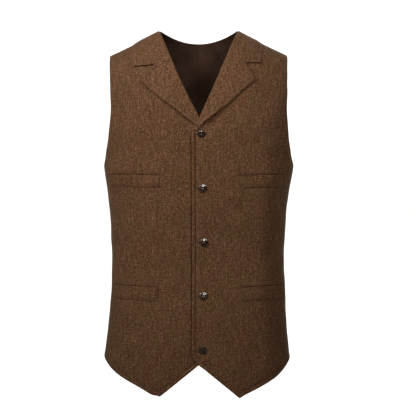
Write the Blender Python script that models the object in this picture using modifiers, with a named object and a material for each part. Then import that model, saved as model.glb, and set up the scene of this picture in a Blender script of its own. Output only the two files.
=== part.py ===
"""Suit waistcoat: single breasted, five buttons, notched lapels, four welt pockets, pointed fronts.

Metres, +Z up. The fronts face -Y and the wearer's left is +X. The origin is the middle of the neck
opening, level with the two neck points where the shoulder seams begin.

The cloth is worked out in three steps. A figure gives every point of the worn cloth from two numbers:
a share of the way round the body and a level up it. Each panel is a flat outline in those two
numbers, filled with triangles. The filled outline is then laid on the figure and thickened.
"""

import math
from bisect import bisect_right
from collections import namedtuple

import bmesh
import bpy
from mathutils import Vector
from mathutils.geometry import delaunay_2d_cdt

# Figure: heights
CHEST_LEVEL = -0.235        # fullest line of the chest, where the cloth starts to turn in to the shoulder
UNDERARM_LEVEL = -0.261     # top of the side seam
SIDE_HEM_LEVEL = -0.619     # bottom of the side seam
BACK_HEM_LEVEL = -0.629     # bottom of the centre back seam
BACK_NECK_LEVEL = -0.018    # top of the centre back seam

# Figure: widths at the top
NECK_HALF = 0.0735          # from the middle to a neck point
SHOULDER_HALF = 0.169       # from the middle to a shoulder end
SHOULDER_DROP = 0.047       # fall of the shoulder seam from neck point to shoulder end
SHOULDER_HOLLOW = 0.003     # how much that seam curves down between them
NECK_RISE = 0.0165          # how high the shoulder line would come at the middle of the neck
RIDGE_HALF = 0.200          # half width that the body line grows to at the height of the seam

# Figure: roundness, 2 is an ellipse and more is squarer
FRONT_POWER = 2.4
BACK_POWER = 2.6
RISE_POWER = 2.4
RING_HALF = 0.174           # one ring sets the shares round the body, and so the length of cloth in each
FRONT_RING_DEPTH = 0.110
BACK_RING_DEPTH = 0.098
RISE_DEPTH = 0.118

# Figure: half width and depth of the worn cloth, from the chest line down to the points
BODY_LEVELS = (
    dict(level=-0.700, half_width=0.1820, front_depth=0.1080, back_depth=0.1060),
    dict(level=-0.625, half_width=0.1775, front_depth=0.1090, back_depth=0.1060),
    dict(level=-0.590, half_width=0.1740, front_depth=0.1080, back_depth=0.1040),
    dict(level=-0.540, half_width=0.1695, front_depth=0.1050, back_depth=0.0970),
    dict(level=-0.480, half_width=0.1660, front_depth=0.1020, back_depth=0.0870),
    dict(level=-0.438, half_width=0.1655, front_depth=0.1030, back_depth=0.0840),
    dict(level=-0.397, half_width=0.1660, front_depth=0.1070, back_depth=0.0870),
    dict(level=-0.345, half_width=0.1690, front_depth=0.1130, back_depth=0.0950),
    dict(level=-0.300, half_width=0.1745, front_depth=0.1170, back_depth=0.1030),
    dict(level=-0.261, half_width=0.1812, front_depth=0.1180, back_depth=0.1070),
    dict(level=-0.235, half_width=0.1830, front_depth=0.1180, back_depth=0.1080),
)

# Cloth
FRONT_WALL = 0.0020         # tweed, canvas and lining together
BACK_WALL = 0.0015          # two layers of satin
TRIM_WALL = 0.0020          # lapels, collar and welts
SEAM_GAP = 0.0003           # between pieces that are sewn edge to edge
PLY_GAP = 0.0004            # between a piece and the panel it lies on
SAME_PLACE = 0.00001        # points nearer than this are one
FRONT_STEP = (0.0120, 0.0200)    # size of the triangles on a front, across and down
BACK_STEP = (0.0160, 0.0240)
EDGE_STEP = 0.0110          # distance of points along curved edges, the neck edge and straight seams
NECK_STEP = 0.0088
SEAM_STEP = 0.0175
EDGE_CLEAR = 0.55           # share of a step that inner points keep from every edge

# Rolled edge of the lapels and the collar
ROLL_RADIUS = FRONT_WALL / 2 + PLY_GAP      # inner face of the roll, round the middle of the front's edge
ROLL_REACH = ROLL_RADIUS + TRIM_WALL        # how far the roll stands past the front's own edge
ROLL_STEPS = 5
TURN_UNDER = 0.0040         # facing that shows inside the neck edge
TURN_UNDER_LEAST = 0.0006   # what is left of it at the lapel's lower end
TURN_LEAN = 0.12            # how much that facing falls away from the front
ROLL_TAPER = (0.026, 0.060) # from the lapel's lower end, where the roll has opened out and where it starts to
ROLL_LAST_ANGLE = math.radians(95)

# Edges of the fronts as they look from in front: across from the middle, and height
Seen = namedtuple("Seen", "across height")
NECK_EDGE = (               # roll line, from below the top button to the neck point
    Seen(-0.0128, -0.2020), Seen(-0.0004, -0.1746), Seen(0.0368, -0.0893), Seen(NECK_HALF, 0.0),
)
NECK_EDGE_HEIGHTS = (-0.0005, -0.003, -0.009, -0.018, -0.0274, -0.055, -0.0893, -0.132, -0.160, -0.180)
LAPEL_END_HEIGHT = -0.1925
OVER_EDGE = (Seen(-0.0128, -0.1985), Seen(-0.0136, -0.2080))        # the front with the buttonholes
OVER_EDGE_LOW = (
    Seen(-0.0136, -0.6130), Seen(-0.0106, -0.6190), Seen(-0.0021, -0.6295), Seen(0.0088, -0.6337),
)
UNDER_EDGE = (Seen(-0.0128, -0.1985), Seen(-0.0140, -0.2080), Seen(-0.0200, -0.2300))
UNDER_EDGE_LOW = (Seen(-0.0200, -0.6130), Seen(0.0007, -0.6300))
FRONT_POINTS = {"left": Seen(0.0768, -0.6925), "right": Seen(0.0720, -0.6897)}
POINT_ROUND = (Seen(-0.0030, 0.0025), Seen(0.0030, 0.0015))     # where the point's rounding starts, from its tip
HEM = (                     # from the point round to the side seam
    Seen(0.0870, -0.6863), Seen(0.1020, -0.6785), Seen(0.1260, -0.6660), Seen(0.1490, -0.6526),
    Seen(0.1645, -0.6395), Seen(0.1730, -0.6290),
)
FRONT_ARMHOLE = (           # from the shoulder down to the underarm
    Seen(0.1675, -0.1000), Seen(0.1660, -0.1500), Seen(0.1690, -0.1900), Seen(0.1740, -0.2250),
    Seen(0.1785, -0.2480),
)
BACK_ARMHOLE = (
    Seen(0.1695, -0.1000), Seen(0.1695, -0.1500), Seen(0.1720, -0.1900), Seen(0.1760, -0.2250),
    Seen(0.1800, -0.2480),
)

# Lapel and collar, seen from in front
GORGE = Seen(0.066, -0.0274)            # where the seam between lapel and collar leaves the neck edge
NOTCH = Seen(0.0875, -0.0672)           # inner end of the notch
COLLAR_CORNER = Seen(0.1200, -0.0665)
COLLAR_MIDDLE = Seen(0.1232, -0.0400)
COLLAR_SHOULDER = 0.1240    # how far out the collar reaches along the shoulder seam
LAPEL_TIP = Seen(0.1061, -0.0978)
LAPEL_LOW = Seen(0.0070, -0.1817)
LAPEL_FOOT = (0.0032, -0.0014)          # blunt lower end of the lapel, from the end of its neck edge
SIDE_LIFT = {"left": 0.0016, "right": -0.0020}      # the wearer's left side sits a little higher

# How the under front sinks so that the over front and its lapel can cross it
TUCK_ACROSS = (-0.062, -0.0165)
TUCK_TOP = (-0.115, -0.162)
TUCK_BOTTOM = (-0.200, -0.270)

# Soft troughs in the cloth: share of the way round and level of both ends, half width and depth
FOLDS = (
    dict(side="left", top=(1.72, -0.330), bottom=(1.69, -0.560), half_width=0.017, depth=0.0032),
    dict(side="left", top=(1.34, -0.290), bottom=(1.45, -0.470), half_width=0.020, depth=0.0036),
    dict(side="left", top=(1.50, -0.420), bottom=(1.55, -0.610), half_width=0.015, depth=0.0022),
    dict(side="right", top=(1.78, -0.360), bottom=(1.74, -0.530), half_width=0.016, depth=0.0026),
    dict(side="right", top=(1.36, -0.300), bottom=(1.50, -0.500), half_width=0.021, depth=0.0040),
    dict(side="right", top=(1.22, -0.440), bottom=(1.27, -0.600), half_width=0.017, depth=0.0024),
)

# Pockets: inner and outer end, top edge at both ends, height of the welt
WELTS = (
    dict(name="upper", inner=0.0740, outer=0.1650, inner_top=-0.2745, outer_top=-0.2745, height=0.0240),
    dict(name="lower", inner=0.0760, outer=0.1620, inner_top=-0.4850, outer_top=-0.4828, height=0.0270),
)

# Buttons, from the top
BUTTONS = (
    Seen(0.0059, -0.2007), Seen(0.0083, -0.3010), Seen(0.0104, -0.4014), Seen(0.0095, -0.5017),
    Seen(0.0080, -0.6020),
)
Turned = namedtuple("Turned", "radius height")
BUTTON_PROFILE = (          # from the middle of its face round to the middle of its back
    Turned(0.0, 0.0029), Turned(0.0042, 0.0030), Turned(0.0056, 0.0036), Turned(0.0066, 0.0036),
    Turned(0.0073, 0.0030), Turned(0.0075, 0.0022), Turned(0.0069, 0.0013), Turned(0.0050, 0.0009),
    Turned(0.0018, 0.0007), Turned(0.0018, 0.0), Turned(0.0, 0.0),
)
BUTTON_STEPS = 16
NECK_CURVE_STEPS = 12

SIDES = {"left": 1, "right": -1}


def between(keys, values, at):
    """Straight-line reading of values at increasing keys."""
    if at <= keys[0]:
        return values[0]
    if at >= keys[-1]:
        return values[-1]
    i = bisect_right(keys, at) - 1
    part = (at - keys[i]) / (keys[i + 1] - keys[i])
    return values[i] + (values[i + 1] - values[i]) * part


def smooth_between(keys, values, at):
    """Smooth reading of values at increasing keys, level past both ends."""
    if at <= keys[0]:
        return values[0]
    if at >= keys[-1]:
        return values[-1]
    i = bisect_right(keys, at) - 1
    width = keys[i + 1] - keys[i]
    part = (at - keys[i]) / width

    def slope(j):
        low = max(j - 1, 0)
        high = min(j + 1, len(keys) - 1)
        return (values[high] - values[low]) / (keys[high] - keys[low])

    lift = part * part * (3 - 2 * part)
    lean_in = part * (1 - part) ** 2 * width * slope(i)
    lean_out = part * part * (part - 1) * width * slope(i + 1)
    return values[i] * (1 - lift) + values[i + 1] * lift + lean_in + lean_out


def fade(start, end, at):
    """0 at start, 1 at end, smooth between them."""
    part = min(max((at - start) / (end - start), 0.0), 1.0)
    return part * part * (3 - 2 * part)


def column(rows, name):
    return [row[name] for row in rows]


BODY_KEYS = column(BODY_LEVELS, "level")
BODY = {name: column(BODY_LEVELS, name) for name in ("half_width", "front_depth", "back_depth")}
CHEST_HALF = BODY["half_width"][-1]
NECK_EDGE_KEYS = [spot.height for spot in NECK_EDGE]
NECK_EDGE_VALUES = [spot.across for spot in NECK_EDGE]


def power_of(angle, power):
    """How far across and how far forward a rounded square reaches at an angle."""
    return abs(math.sin(angle)) ** (2 / power), abs(math.cos(angle)) ** (2 / power)


def quarter_ring(width, depth, power, steps=400):
    """Angles along a quarter of a ring, the share of its length at each, and that length."""
    angles = [math.pi / 2 * i / steps for i in range(steps + 1)]
    lengths = [0.0]
    last = (0.0, depth)
    for angle in angles[1:]:
        across, along = power_of(angle, power)
        point = (width * across, depth * along)
        lengths.append(lengths[-1] + math.dist(point, last))
        last = point
    return angles, [length / lengths[-1] for length in lengths], lengths[-1]


FRONT_RING = quarter_ring(RING_HALF, FRONT_RING_DEPTH, FRONT_POWER)
BACK_RING = quarter_ring(RING_HALF, BACK_RING_DEPTH, BACK_POWER)
RISE_RING = quarter_ring(-CHEST_LEVEL, RISE_DEPTH, RISE_POWER)
GIRTH = FRONT_RING[2]       # cloth from centre front to side seam, one share
RISE = RISE_RING[2]         # cloth from the chest line up to the shoulder seam
TOP_LEVEL = CHEST_LEVEL + RISE


def ridge_height(x):
    """Height of the shoulder seam's line at a distance from the middle."""
    across = abs(x)
    if across < NECK_HALF:
        return NECK_RISE * (1 - (across / NECK_HALF) ** 2)
    part = (across - NECK_HALF) / (SHOULDER_HALF - NECK_HALF)
    return -SHOULDER_DROP * part - 4 * SHOULDER_HOLLOW * part * max(1 - part, 0)


def figure_point(share, level):
    """Outer face of the cloth.

    The share is 0 at centre front, 1 at the side seam and 2 at centre back, and negative on the
    wearer's right. The level is a height up to the chest line, and above it the length of cloth.
    """
    around = abs(share)
    in_front = around <= 1
    if in_front:
        angle = between(FRONT_RING[1], FRONT_RING[0], around)
        across, along = power_of(angle, FRONT_POWER)
        depths = BODY["front_depth"]
    else:
        angle = between(BACK_RING[1], BACK_RING[0], 2 - around)
        across, along = power_of(angle, BACK_POWER)
        depths = BODY["back_depth"]
    depth = smooth_between(BODY_KEYS, depths, level)
    if level <= CHEST_LEVEL:
        half = smooth_between(BODY_KEYS, BODY["half_width"], level)
        x = half * across
        y = depth * along
        z = level
    else:
        climb = between(RISE_RING[1], RISE_RING[0], (level - CHEST_LEVEL) / RISE)
        lift, reach = power_of(climb, RISE_POWER)
        x = (CHEST_HALF + (RIDGE_HALF - CHEST_HALF) * lift) * across
        y = depth * along * reach
        z = CHEST_LEVEL + lift * (ridge_height(x) - CHEST_LEVEL)
    return Vector((math.copysign(x, share), -y if in_front else y, z))


def outward(share, level):
    """Direction out of the cloth."""
    turn = 0.004
    climb = 0.0010
    round_body = figure_point(share + turn, level) - figure_point(share - turn, level)
    up_body = figure_point(share, min(level + climb, TOP_LEVEL)) - figure_point(share, level - climb)
    return round_body.cross(up_body).normalized()


def share_and_level(x, z, ring, power):
    """Inverse of the figure for a quarter of it, from how it looks from in front."""
    if z > CHEST_LEVEL:
        lift = min((z - CHEST_LEVEL) / (ridge_height(x) - CHEST_LEVEL), 1.0)
        climb = math.asin(lift ** (RISE_POWER / 2))
        level = CHEST_LEVEL + RISE * between(RISE_RING[0], RISE_RING[1], climb)
        half = CHEST_HALF + (RIDGE_HALF - CHEST_HALF) * lift
    else:
        level = z
        half = smooth_between(BODY_KEYS, BODY["half_width"], level)
    angle = math.asin(min(abs(x) / half, 1.0) ** (power / 2))
    return between(ring[0], ring[1], angle), level


def on_front(x, z):
    """Place in the flat cut, in metres round and up, of what shows at x and z from in front."""
    share, level = share_and_level(x, z, FRONT_RING, FRONT_POWER)
    return math.copysign(share, x) * GIRTH, level


def on_back(x, z):
    share, level = share_and_level(x, z, BACK_RING, BACK_POWER)
    return (2 - share) * GIRTH, level


def on_side(level):
    return GIRTH - SEAM_GAP / 2, level


def on_shoulder(x):
    u, _ = on_front(x, ridge_height(x))
    return u, TOP_LEVEL - SEAM_GAP / 2


def measured(points):
    lengths = [0.0]
    for i in range(1, len(points)):
        lengths.append(lengths[-1] + math.dist(points[i], points[i - 1]))
    return lengths


def even_steps(points, step):
    """The same line with points at even distances, ends kept."""
    lengths = measured(points)
    count = max(round(lengths[-1] / step), 1)
    across = [point[0] for point in points]
    along = [point[1] for point in points]
    marks = [lengths[-1] * i / count for i in range(count + 1)]
    return [(between(lengths, across, mark), between(lengths, along, mark)) for mark in marks]


def curve_through(points, step=EDGE_STEP):
    """Smooth line through points of the cut, in even steps."""
    lengths = measured(points)
    across = [point[0] for point in points]
    along = [point[1] for point in points]
    marks = [lengths[-1] * i / 200 for i in range(201)]
    fine = [(smooth_between(lengths, across, mark), smooth_between(lengths, along, mark)) for mark in marks]
    return even_steps(fine, step)


def seen_straight(start, end, count=8):
    """Points of the cut on a line that looks straight from in front."""
    marks = [i / count for i in range(count + 1)]
    return [on_front(start[0] + (end[0] - start[0]) * m, start[1] + (end[1] - start[1]) * m) for m in marks]


def joined(*lines):
    """One outline from lines that follow on."""
    outline = []
    for line in lines:
        for point in line:
            if not outline or math.dist(outline[-1], point) > SAME_PLACE:
                outline.append(point)
    if math.dist(outline[0], outline[-1]) < SAME_PLACE:
        outline.pop()
    return outline


def is_inside(point, outline):
    """Even-odd test of a point in a closed outline."""
    inside = False
    for i in range(len(outline)):
        (ax, ay), (bx, by) = outline[i - 1], outline[i]
        if (ay > point[1]) != (by > point[1]):
            if point[0] < ax + (bx - ax) * (point[1] - ay) / (by - ay):
                inside = not inside
    return inside


def distance_to(point, start, end):
    """Distance from a point to a straight stretch, all in the cut."""
    dx, dy = end[0] - start[0], end[1] - start[1]
    px, py = point[0] - start[0], point[1] - start[1]
    part = min(max((px * dx + py * dy) / (dx * dx + dy * dy), 0.0), 1.0)
    return math.hypot(px - dx * part, py - dy * part)


def far_from(point, lines, distance):
    """True where a point keeps a distance from every line."""
    for line in lines:
        for i in range(1, len(line)):
            if distance_to(point, line[i - 1], line[i]) < distance:
                return False
    return True


def fill_cut(outline, lines, step):
    """Triangles of a flat cut, with edges along its outline and along every line laid in it."""
    across, down = step
    squeeze = across / down
    scaled = [[(u, v * squeeze) for u, v in line] for line in [outline + outline[:1]] + lines]
    points = []
    edges = []
    for line in scaled:
        start = len(points)
        points += line
        edges += [(start + i, start + i + 1) for i in range(len(line) - 1)]
    border = scaled[0][:-1]
    low_u, high_u = min(p[0] for p in border), max(p[0] for p in border)
    low_v, high_v = min(p[1] for p in border), max(p[1] for p in border)
    rows = int((high_v - low_v) / across)
    columns = int((high_u - low_u) / across)
    for row in range(rows + 1):
        for place in range(columns + 1):
            shift = 0.5 if row % 2 else 0.0
            point = (low_u + (place + shift) * across, low_v + row * across)
            if is_inside(point, border) and far_from(point, scaled, EDGE_CLEAR * across):
                points.append(point)
    flat, _, faces, _, _, _ = delaunay_2d_cdt([Vector(p) for p in points], edges, [], 1, 1e-6)
    return [(p.x, p.y / squeeze) for p in flat], [tuple(face) for face in faces]


def part_inside(cut, outline):
    """The triangles of a cut that lie inside an outline, with only the points they use."""
    points, faces = cut
    kept = []
    for face in faces:
        middle = (sum(points[i][0] for i in face) / 3, sum(points[i][1] for i in face) / 3)
        if is_inside(middle, outline):
            kept.append(face)
    used = sorted({i for face in kept for i in face})
    renumber = {old: new for new, old in enumerate(used)}
    return [points[i] for i in used], [tuple(renumber[i] for i in face) for face in kept]


def tuck(point):
    """How far the under front lies in at a point of the figure."""
    under = fade(TUCK_ACROSS[0], TUCK_ACROSS[1], point.x)
    crossing = fade(TUCK_TOP[0], TUCK_TOP[1], point.z) * fade(TUCK_BOTTOM[1], TUCK_BOTTOM[0], point.z)
    return under * (FRONT_WALL + PLY_GAP + crossing * (TRIM_WALL + PLY_GAP))


def fold(side, u, level):
    """How far the soft troughs take the cloth in at a point of the cut."""
    depth = 0.0
    for row in FOLDS:
        if row["side"] == side:
            top = (row["top"][0] * GIRTH, row["top"][1])
            bottom = (row["bottom"][0] * GIRTH, row["bottom"][1])
            away = distance_to((u, level), top, bottom) / row["half_width"]
            depth += row["depth"] * math.exp(-away * away)
    return depth


def place_on(side, u, level, out):
    """World place of a point of the cut, a distance out of the cloth, on the wearer's left or right."""
    share = SIDES[side] * u / GIRTH
    point = figure_point(share, level)
    lying = out - fold(side, u, level)
    if side == "right" and u < GIRTH:
        lying -= tuck(point)
    return point + outward(share, level) * lying


def make_material(name, colour, roughness, sheen=0.0):
    material = bpy.data.materials.new(name)
    material.use_nodes = True
    shader = material.node_tree.nodes["Principled BSDF"]
    shader.inputs["Base Color"].default_value = (*colour, 1.0)
    shader.inputs["Roughness"].default_value = roughness
    shader.inputs["Metallic"].default_value = 0.0
    shader.inputs["Sheen Weight"].default_value = sheen
    material.diffuse_color = (*colour, 1.0)
    return material


def add_object(name, mesh, material, collection):
    mesh.materials.append(material)
    piece = bpy.data.objects.new(name, mesh)
    collection.objects.link(piece)
    return piece


def make_cloth(name, points, faces, wall, thicken_out, material, collection):
    """One piece of cloth from its open surface, which faces out, and its thickness."""
    mesh = bpy.data.meshes.new(name)
    mesh.from_pydata(points, [], faces)
    shape = bmesh.new()
    shape.from_mesh(mesh)
    bmesh.ops.recalc_face_normals(shape, faces=shape.faces)
    middle = sum((face.calc_center_median() for face in shape.faces), Vector()) / len(shape.faces)
    facing = sum(face.normal.dot(face.calc_center_median() - Vector((0, 0, middle.z))) * face.calc_area()
                 for face in shape.faces)
    if facing < 0:
        bmesh.ops.reverse_faces(shape, faces=shape.faces)
    shape.to_mesh(mesh)
    shape.free()
    mesh.shade_smooth()
    mesh.set_sharp_from_angle(angle=math.radians(40))
    piece = add_object(name, mesh, material, collection)
    solid = piece.modifiers.new("cloth wall", "SOLIDIFY")
    solid.thickness = wall
    solid.offset = 1.0 if thicken_out else -1.0
    solid.use_even_offset = True
    return piece


def neck_edge_line(reach):
    """Neck edge in the cut from the shoulder seam down, set in from the roll line."""
    seen = [on_shoulder(NECK_HALF)]
    for height in NECK_EDGE_HEIGHTS + (LAPEL_END_HEIGHT,):
        seen.append(on_front(smooth_between(NECK_EDGE_KEYS, NECK_EDGE_VALUES, height), height))
    line = curve_through(seen, EDGE_STEP / 4)
    moved = []
    for i, (u, v) in enumerate(line):
        before = line[max(i - 1, 0)]
        after = line[min(i + 1, len(line) - 1)]
        length = math.dist(before, after)
        moved.append((u + reach * (before[1] - after[1]) / length, v + reach * (after[0] - before[0]) / length))
    moved[0] = (moved[0][0], seen[0][1])
    return moved


def front_lines(side):
    """Every line of a front in the flat cut, as dense or even runs, by name."""
    lift = SIDE_LIFT[side]

    def lifted(spot):
        return spot[0], spot[1] + lift

    neck = neck_edge_line(ROLL_REACH)
    gorge_level = on_front(*lifted(GORGE))[1]
    gorge_start = min(range(len(neck)), key=lambda i: abs(neck[i][1] - gorge_level))
    neck_upper = even_steps(neck[:gorge_start + 1], NECK_STEP)
    neck_lower = even_steps(neck[gorge_start:], NECK_STEP)
    end = neck_lower[-1]

    if side == "left":
        edge, edge_low = OVER_EDGE, OVER_EDGE_LOW
    else:
        edge, edge_low = UNDER_EDGE, UNDER_EDGE_LOW
    point = FRONT_POINTS[side]
    inner_round, outer_round = [(point[0] + spot[0], point[1] + spot[1]) for spot in POINT_ROUND]
    opening = [end] + [on_front(*spot) for spot in edge]
    straight = even_steps([opening[-1], on_front(*edge_low[0])], SEAM_STEP)
    corner = [on_front(*spot) for spot in edge_low]
    cutaway = even_steps(seen_straight(edge_low[-1], inner_round), EDGE_STEP)
    hem = curve_through([on_front(*spot) for spot in (outer_round,) + HEM] + [on_side(SIDE_HEM_LEVEL)])
    side_seam = even_steps([on_side(SIDE_HEM_LEVEL), on_side(UNDERARM_LEVEL)], SEAM_STEP)
    armhole = curve_through([on_side(UNDERARM_LEVEL)] + [on_front(*spot) for spot in reversed(FRONT_ARMHOLE)]
                            + [on_shoulder(SHOULDER_HALF)])
    shoulder_out = even_steps([on_shoulder(SHOULDER_HALF), on_shoulder(COLLAR_SHOULDER)], EDGE_STEP)
    shoulder_in = even_steps([on_shoulder(COLLAR_SHOULDER), neck[0]], EDGE_STEP)
    outline = joined(neck_upper, neck_lower, opening, straight, corner, cutaway,
                     [on_front(*point)], hem, side_seam, armhole, shoulder_out, shoulder_in)

    notch = on_front(*lifted(NOTCH))
    gorge = even_steps([neck_lower[0], notch], EDGE_STEP)
    collar_front = even_steps(seen_straight(lifted(NOTCH), lifted(COLLAR_CORNER)), EDGE_STEP)
    collar_outer = curve_through([on_front(*lifted(COLLAR_CORNER)), on_front(*lifted(COLLAR_MIDDLE)),
                                  on_shoulder(COLLAR_SHOULDER)])
    lapel_top = even_steps(seen_straight(lifted(NOTCH), lifted(LAPEL_TIP)), EDGE_STEP)
    lapel_outer = even_steps(seen_straight(lifted(LAPEL_TIP), LAPEL_LOW), EDGE_STEP)
    lapel_last = (end[0] + LAPEL_FOOT[0], end[1] + LAPEL_FOOT[1])
    foot = even_steps([lapel_outer[-1], lapel_last], EDGE_STEP) + [end]

    collar = joined(neck_upper, gorge, collar_front, collar_outer, shoulder_in)
    lapel = joined(gorge[::-1], neck_lower, foot[::-1], lapel_outer[::-1], lapel_top[::-1])
    return dict(outline=outline, neck_upper=neck_upper, neck_lower=neck_lower, gorge=gorge, collar=collar,
                lapel=lapel, laid=[gorge, collar_front, collar_outer, lapel_top, lapel_outer, foot])


def welt_outline(welt):
    """Four sides of a welt in the cut."""
    inner_bottom = welt["inner_top"] - welt["height"]
    outer_bottom = welt["outer_top"] - welt["height"]
    corners = ((welt["inner"], welt["inner_top"]), (welt["outer"], welt["outer_top"]),
               (welt["outer"], outer_bottom), (welt["inner"], inner_bottom))
    sides = []
    for i in range(4):
        sides.append(even_steps(seen_straight(corners[i - 1], corners[i]), EDGE_STEP))
    return joined(*sides)


def rolled(side, points, faces, edge, taper_from_end):
    """Adds the rolled edge and the turned-under strip to a piece that lies on a front."""
    count = len(edge)
    lengths = measured(edge)
    seats = [min(range(len(points)), key=lambda k: math.dist(points[k], spot)) for spot in edge]
    laid = [place_on(side, u, level, PLY_GAP) for u, level in points]
    strips = [seats]
    for step in range(1, ROLL_STEPS + 2):
        strip = []
        for i, (u, level) in enumerate(edge):
            normal = outward(SIDES[side] * u / GIRTH, level)
            middle = place_on(side, u, level, -FRONT_WALL / 2)
            ahead = place_on(side, *edge[min(i + 1, count - 1)], 0) - place_on(side, *edge[max(i - 1, 0)], 0)
            away = normal.cross(ahead).normalized()
            if away.x * SIDES[side] > 0:
                away = -away
            left = lengths[-1] - lengths[i]
            full = fade(ROLL_TAPER[0], ROLL_TAPER[1], left) if taper_from_end else 1.0
            last_angle = ROLL_LAST_ANGLE + (math.pi - ROLL_LAST_ANGLE) * full
            if step <= ROLL_STEPS:
                angle = last_angle * step / ROLL_STEPS
                spot = middle + (normal * math.cos(angle) + away * math.sin(angle)) * ROLL_RADIUS
            else:
                under = TURN_UNDER_LEAST + (TURN_UNDER - TURN_UNDER_LEAST) * full
                heading = away * math.cos(last_angle) - normal * (math.sin(last_angle) + TURN_LEAN * full)
                spot = middle + (normal * math.cos(last_angle) + away * math.sin(last_angle)) * ROLL_RADIUS
                spot = spot + heading * under
            strip.append(len(laid))
            laid.append(spot)
        strips.append(strip)
    wrapped = list(faces)
    for first, second in zip(strips, strips[1:]):
        for i in range(count - 1):
            wrapped.append((first[i], first[i + 1], second[i + 1], second[i]))
    return laid, wrapped


def held_apart(points, line, toward):
    """Moves the points that lie on a sewn line by half a seam gap towards a place in the cut."""
    moved = []
    for point in points:
        if far_from(point, [line], SAME_PLACE):
            moved.append(point)
        else:
            dx, dy = toward[0] - point[0], toward[1] - point[1]
            length = math.hypot(dx, dy)
            moved.append((point[0] + dx / length * SEAM_GAP / 2, point[1] + dy / length * SEAM_GAP / 2))
    return moved


def middle_of(outline):
    return sum(p[0] for p in outline) / len(outline), sum(p[1] for p in outline) / len(outline)


def make_front(side, tweed, collection):
    """One front with everything that lies on it."""
    lines = front_lines(side)
    welts = {welt["name"]: welt_outline(welt) for welt in WELTS}
    laid_lines = lines["laid"] + [outline + outline[:1] for outline in welts.values()]
    cut = fill_cut(lines["outline"], laid_lines, FRONT_STEP)
    points = [place_on(side, u, level, 0.0) for u, level in cut[0]]
    make_cloth(f"front_{side}", points, cut[1], FRONT_WALL, False, tweed, collection)
    for name, outline in welts.items():
        spots, faces = part_inside(cut, outline)
        points = [place_on(side, u, level, PLY_GAP) for u, level in spots]
        make_cloth(f"welt_{name}_{side}", points, faces, TRIM_WALL, True, tweed, collection)
    for name, edge, tapered in (("collar", "neck_upper", False), ("lapel", "neck_lower", True)):
        spots, faces = part_inside(cut, lines[name])
        toward = middle_of(lines[name])
        spots = held_apart(spots, lines["gorge"], toward)
        edge_line = held_apart(lines[edge], lines["gorge"], toward)
        points, faces = rolled(side, spots, faces, edge_line, tapered)
        make_cloth(f"{name}_{side}", points, faces, TRIM_WALL, True, tweed, collection)


def make_back(side, satin, collection):
    """One half of the back, from the centre back seam to the side seam."""
    centre = 2 * GIRTH - SEAM_GAP / 2
    neck_low = on_back(0.0, BACK_NECK_LEVEL)[1]
    neck_start = on_shoulder(NECK_HALF)[0]
    shoulder_end = on_shoulder(SHOULDER_HALF)[0]
    top = TOP_LEVEL - SEAM_GAP / 2
    neck = []
    for i in range(NECK_CURVE_STEPS + 1):
        angle = math.pi / 2 * i / NECK_CURVE_STEPS
        neck.append((centre - (centre - (2 * GIRTH - neck_start)) * math.cos(angle),
                     top - (top - neck_low) * math.sin(angle)))
    centre_seam = even_steps([(centre, neck_low), (centre, BACK_HEM_LEVEL)], BACK_STEP[1])
    hem = curve_through([(centre, BACK_HEM_LEVEL), (1.5 * GIRTH, (BACK_HEM_LEVEL + SIDE_HEM_LEVEL) / 2 - 0.001),
                         (GIRTH + SEAM_GAP / 2, SIDE_HEM_LEVEL)], BACK_STEP[0])
    side_seam = even_steps([(GIRTH + SEAM_GAP / 2, SIDE_HEM_LEVEL), (GIRTH + SEAM_GAP / 2, UNDERARM_LEVEL)],
                           SEAM_STEP)
    armhole = curve_through([(GIRTH + SEAM_GAP / 2, UNDERARM_LEVEL)]
                            + [on_back(*spot) for spot in reversed(BACK_ARMHOLE)]
                            + [(2 * GIRTH - shoulder_end, top)])
    shoulder = even_steps([(2 * GIRTH - shoulder_end, top), (2 * GIRTH - neck_start, top)], EDGE_STEP)
    outline = joined(neck, centre_seam, hem, side_seam, armhole, shoulder)
    cut = fill_cut(outline, [], BACK_STEP)
    points = [place_on(side, u, level, 0.0) for u, level in cut[0]]
    make_cloth(f"back_{side}", points, cut[1], BACK_WALL, False, satin, collection)


def make_button(number, spot, horn, collection):
    """Turned button, sewn on the front with a short thread shank."""
    mesh = bpy.data.meshes.new(f"button_{number}")
    profile = [Vector((row.radius, 0.0, row.height)) for row in BUTTON_PROFILE]
    mesh.from_pydata(profile, [(i, i + 1) for i in range(len(profile) - 1)], [])
    piece = add_object(f"button_{number}", mesh, horn, collection)
    turn = piece.modifiers.new("turned", "SCREW")
    turn.steps = BUTTON_STEPS
    turn.render_steps = BUTTON_STEPS
    turn.use_merge_vertices = True
    turn.merge_threshold = SAME_PLACE
    turn.use_smooth_shade = True
    u, level = on_front(*spot)
    facing = outward(u / GIRTH, level)
    piece.location = place_on("left", u, level, PLY_GAP)
    piece.rotation_euler = facing.to_track_quat("Z", "Y").to_euler()


def main():
    for old in list(bpy.data.objects):
        bpy.data.objects.remove(old, do_unlink=True)
    collection = bpy.data.collections.new("suit_waistcoat")
    bpy.context.scene.collection.children.link(collection)
    tweed = make_material("brown_tweed", (0.095, 0.052, 0.030), 0.9, 0.3)
    satin = make_material("back_satin", (0.030, 0.018, 0.012), 0.35)
    horn = make_material("horn_button", (0.020, 0.012, 0.008), 0.2)
    for side in SIDES:
        make_front(side, tweed, collection)
        make_back(side, satin, collection)
    for number, spot in enumerate(BUTTONS, start=1):
        make_button(number, spot, horn, collection)


main()
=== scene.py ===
import math

import bpy
import numpy as np
from mathutils import Matrix, Vector, kdtree
from mathutils.geometry import delaunay_2d_cdt


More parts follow.
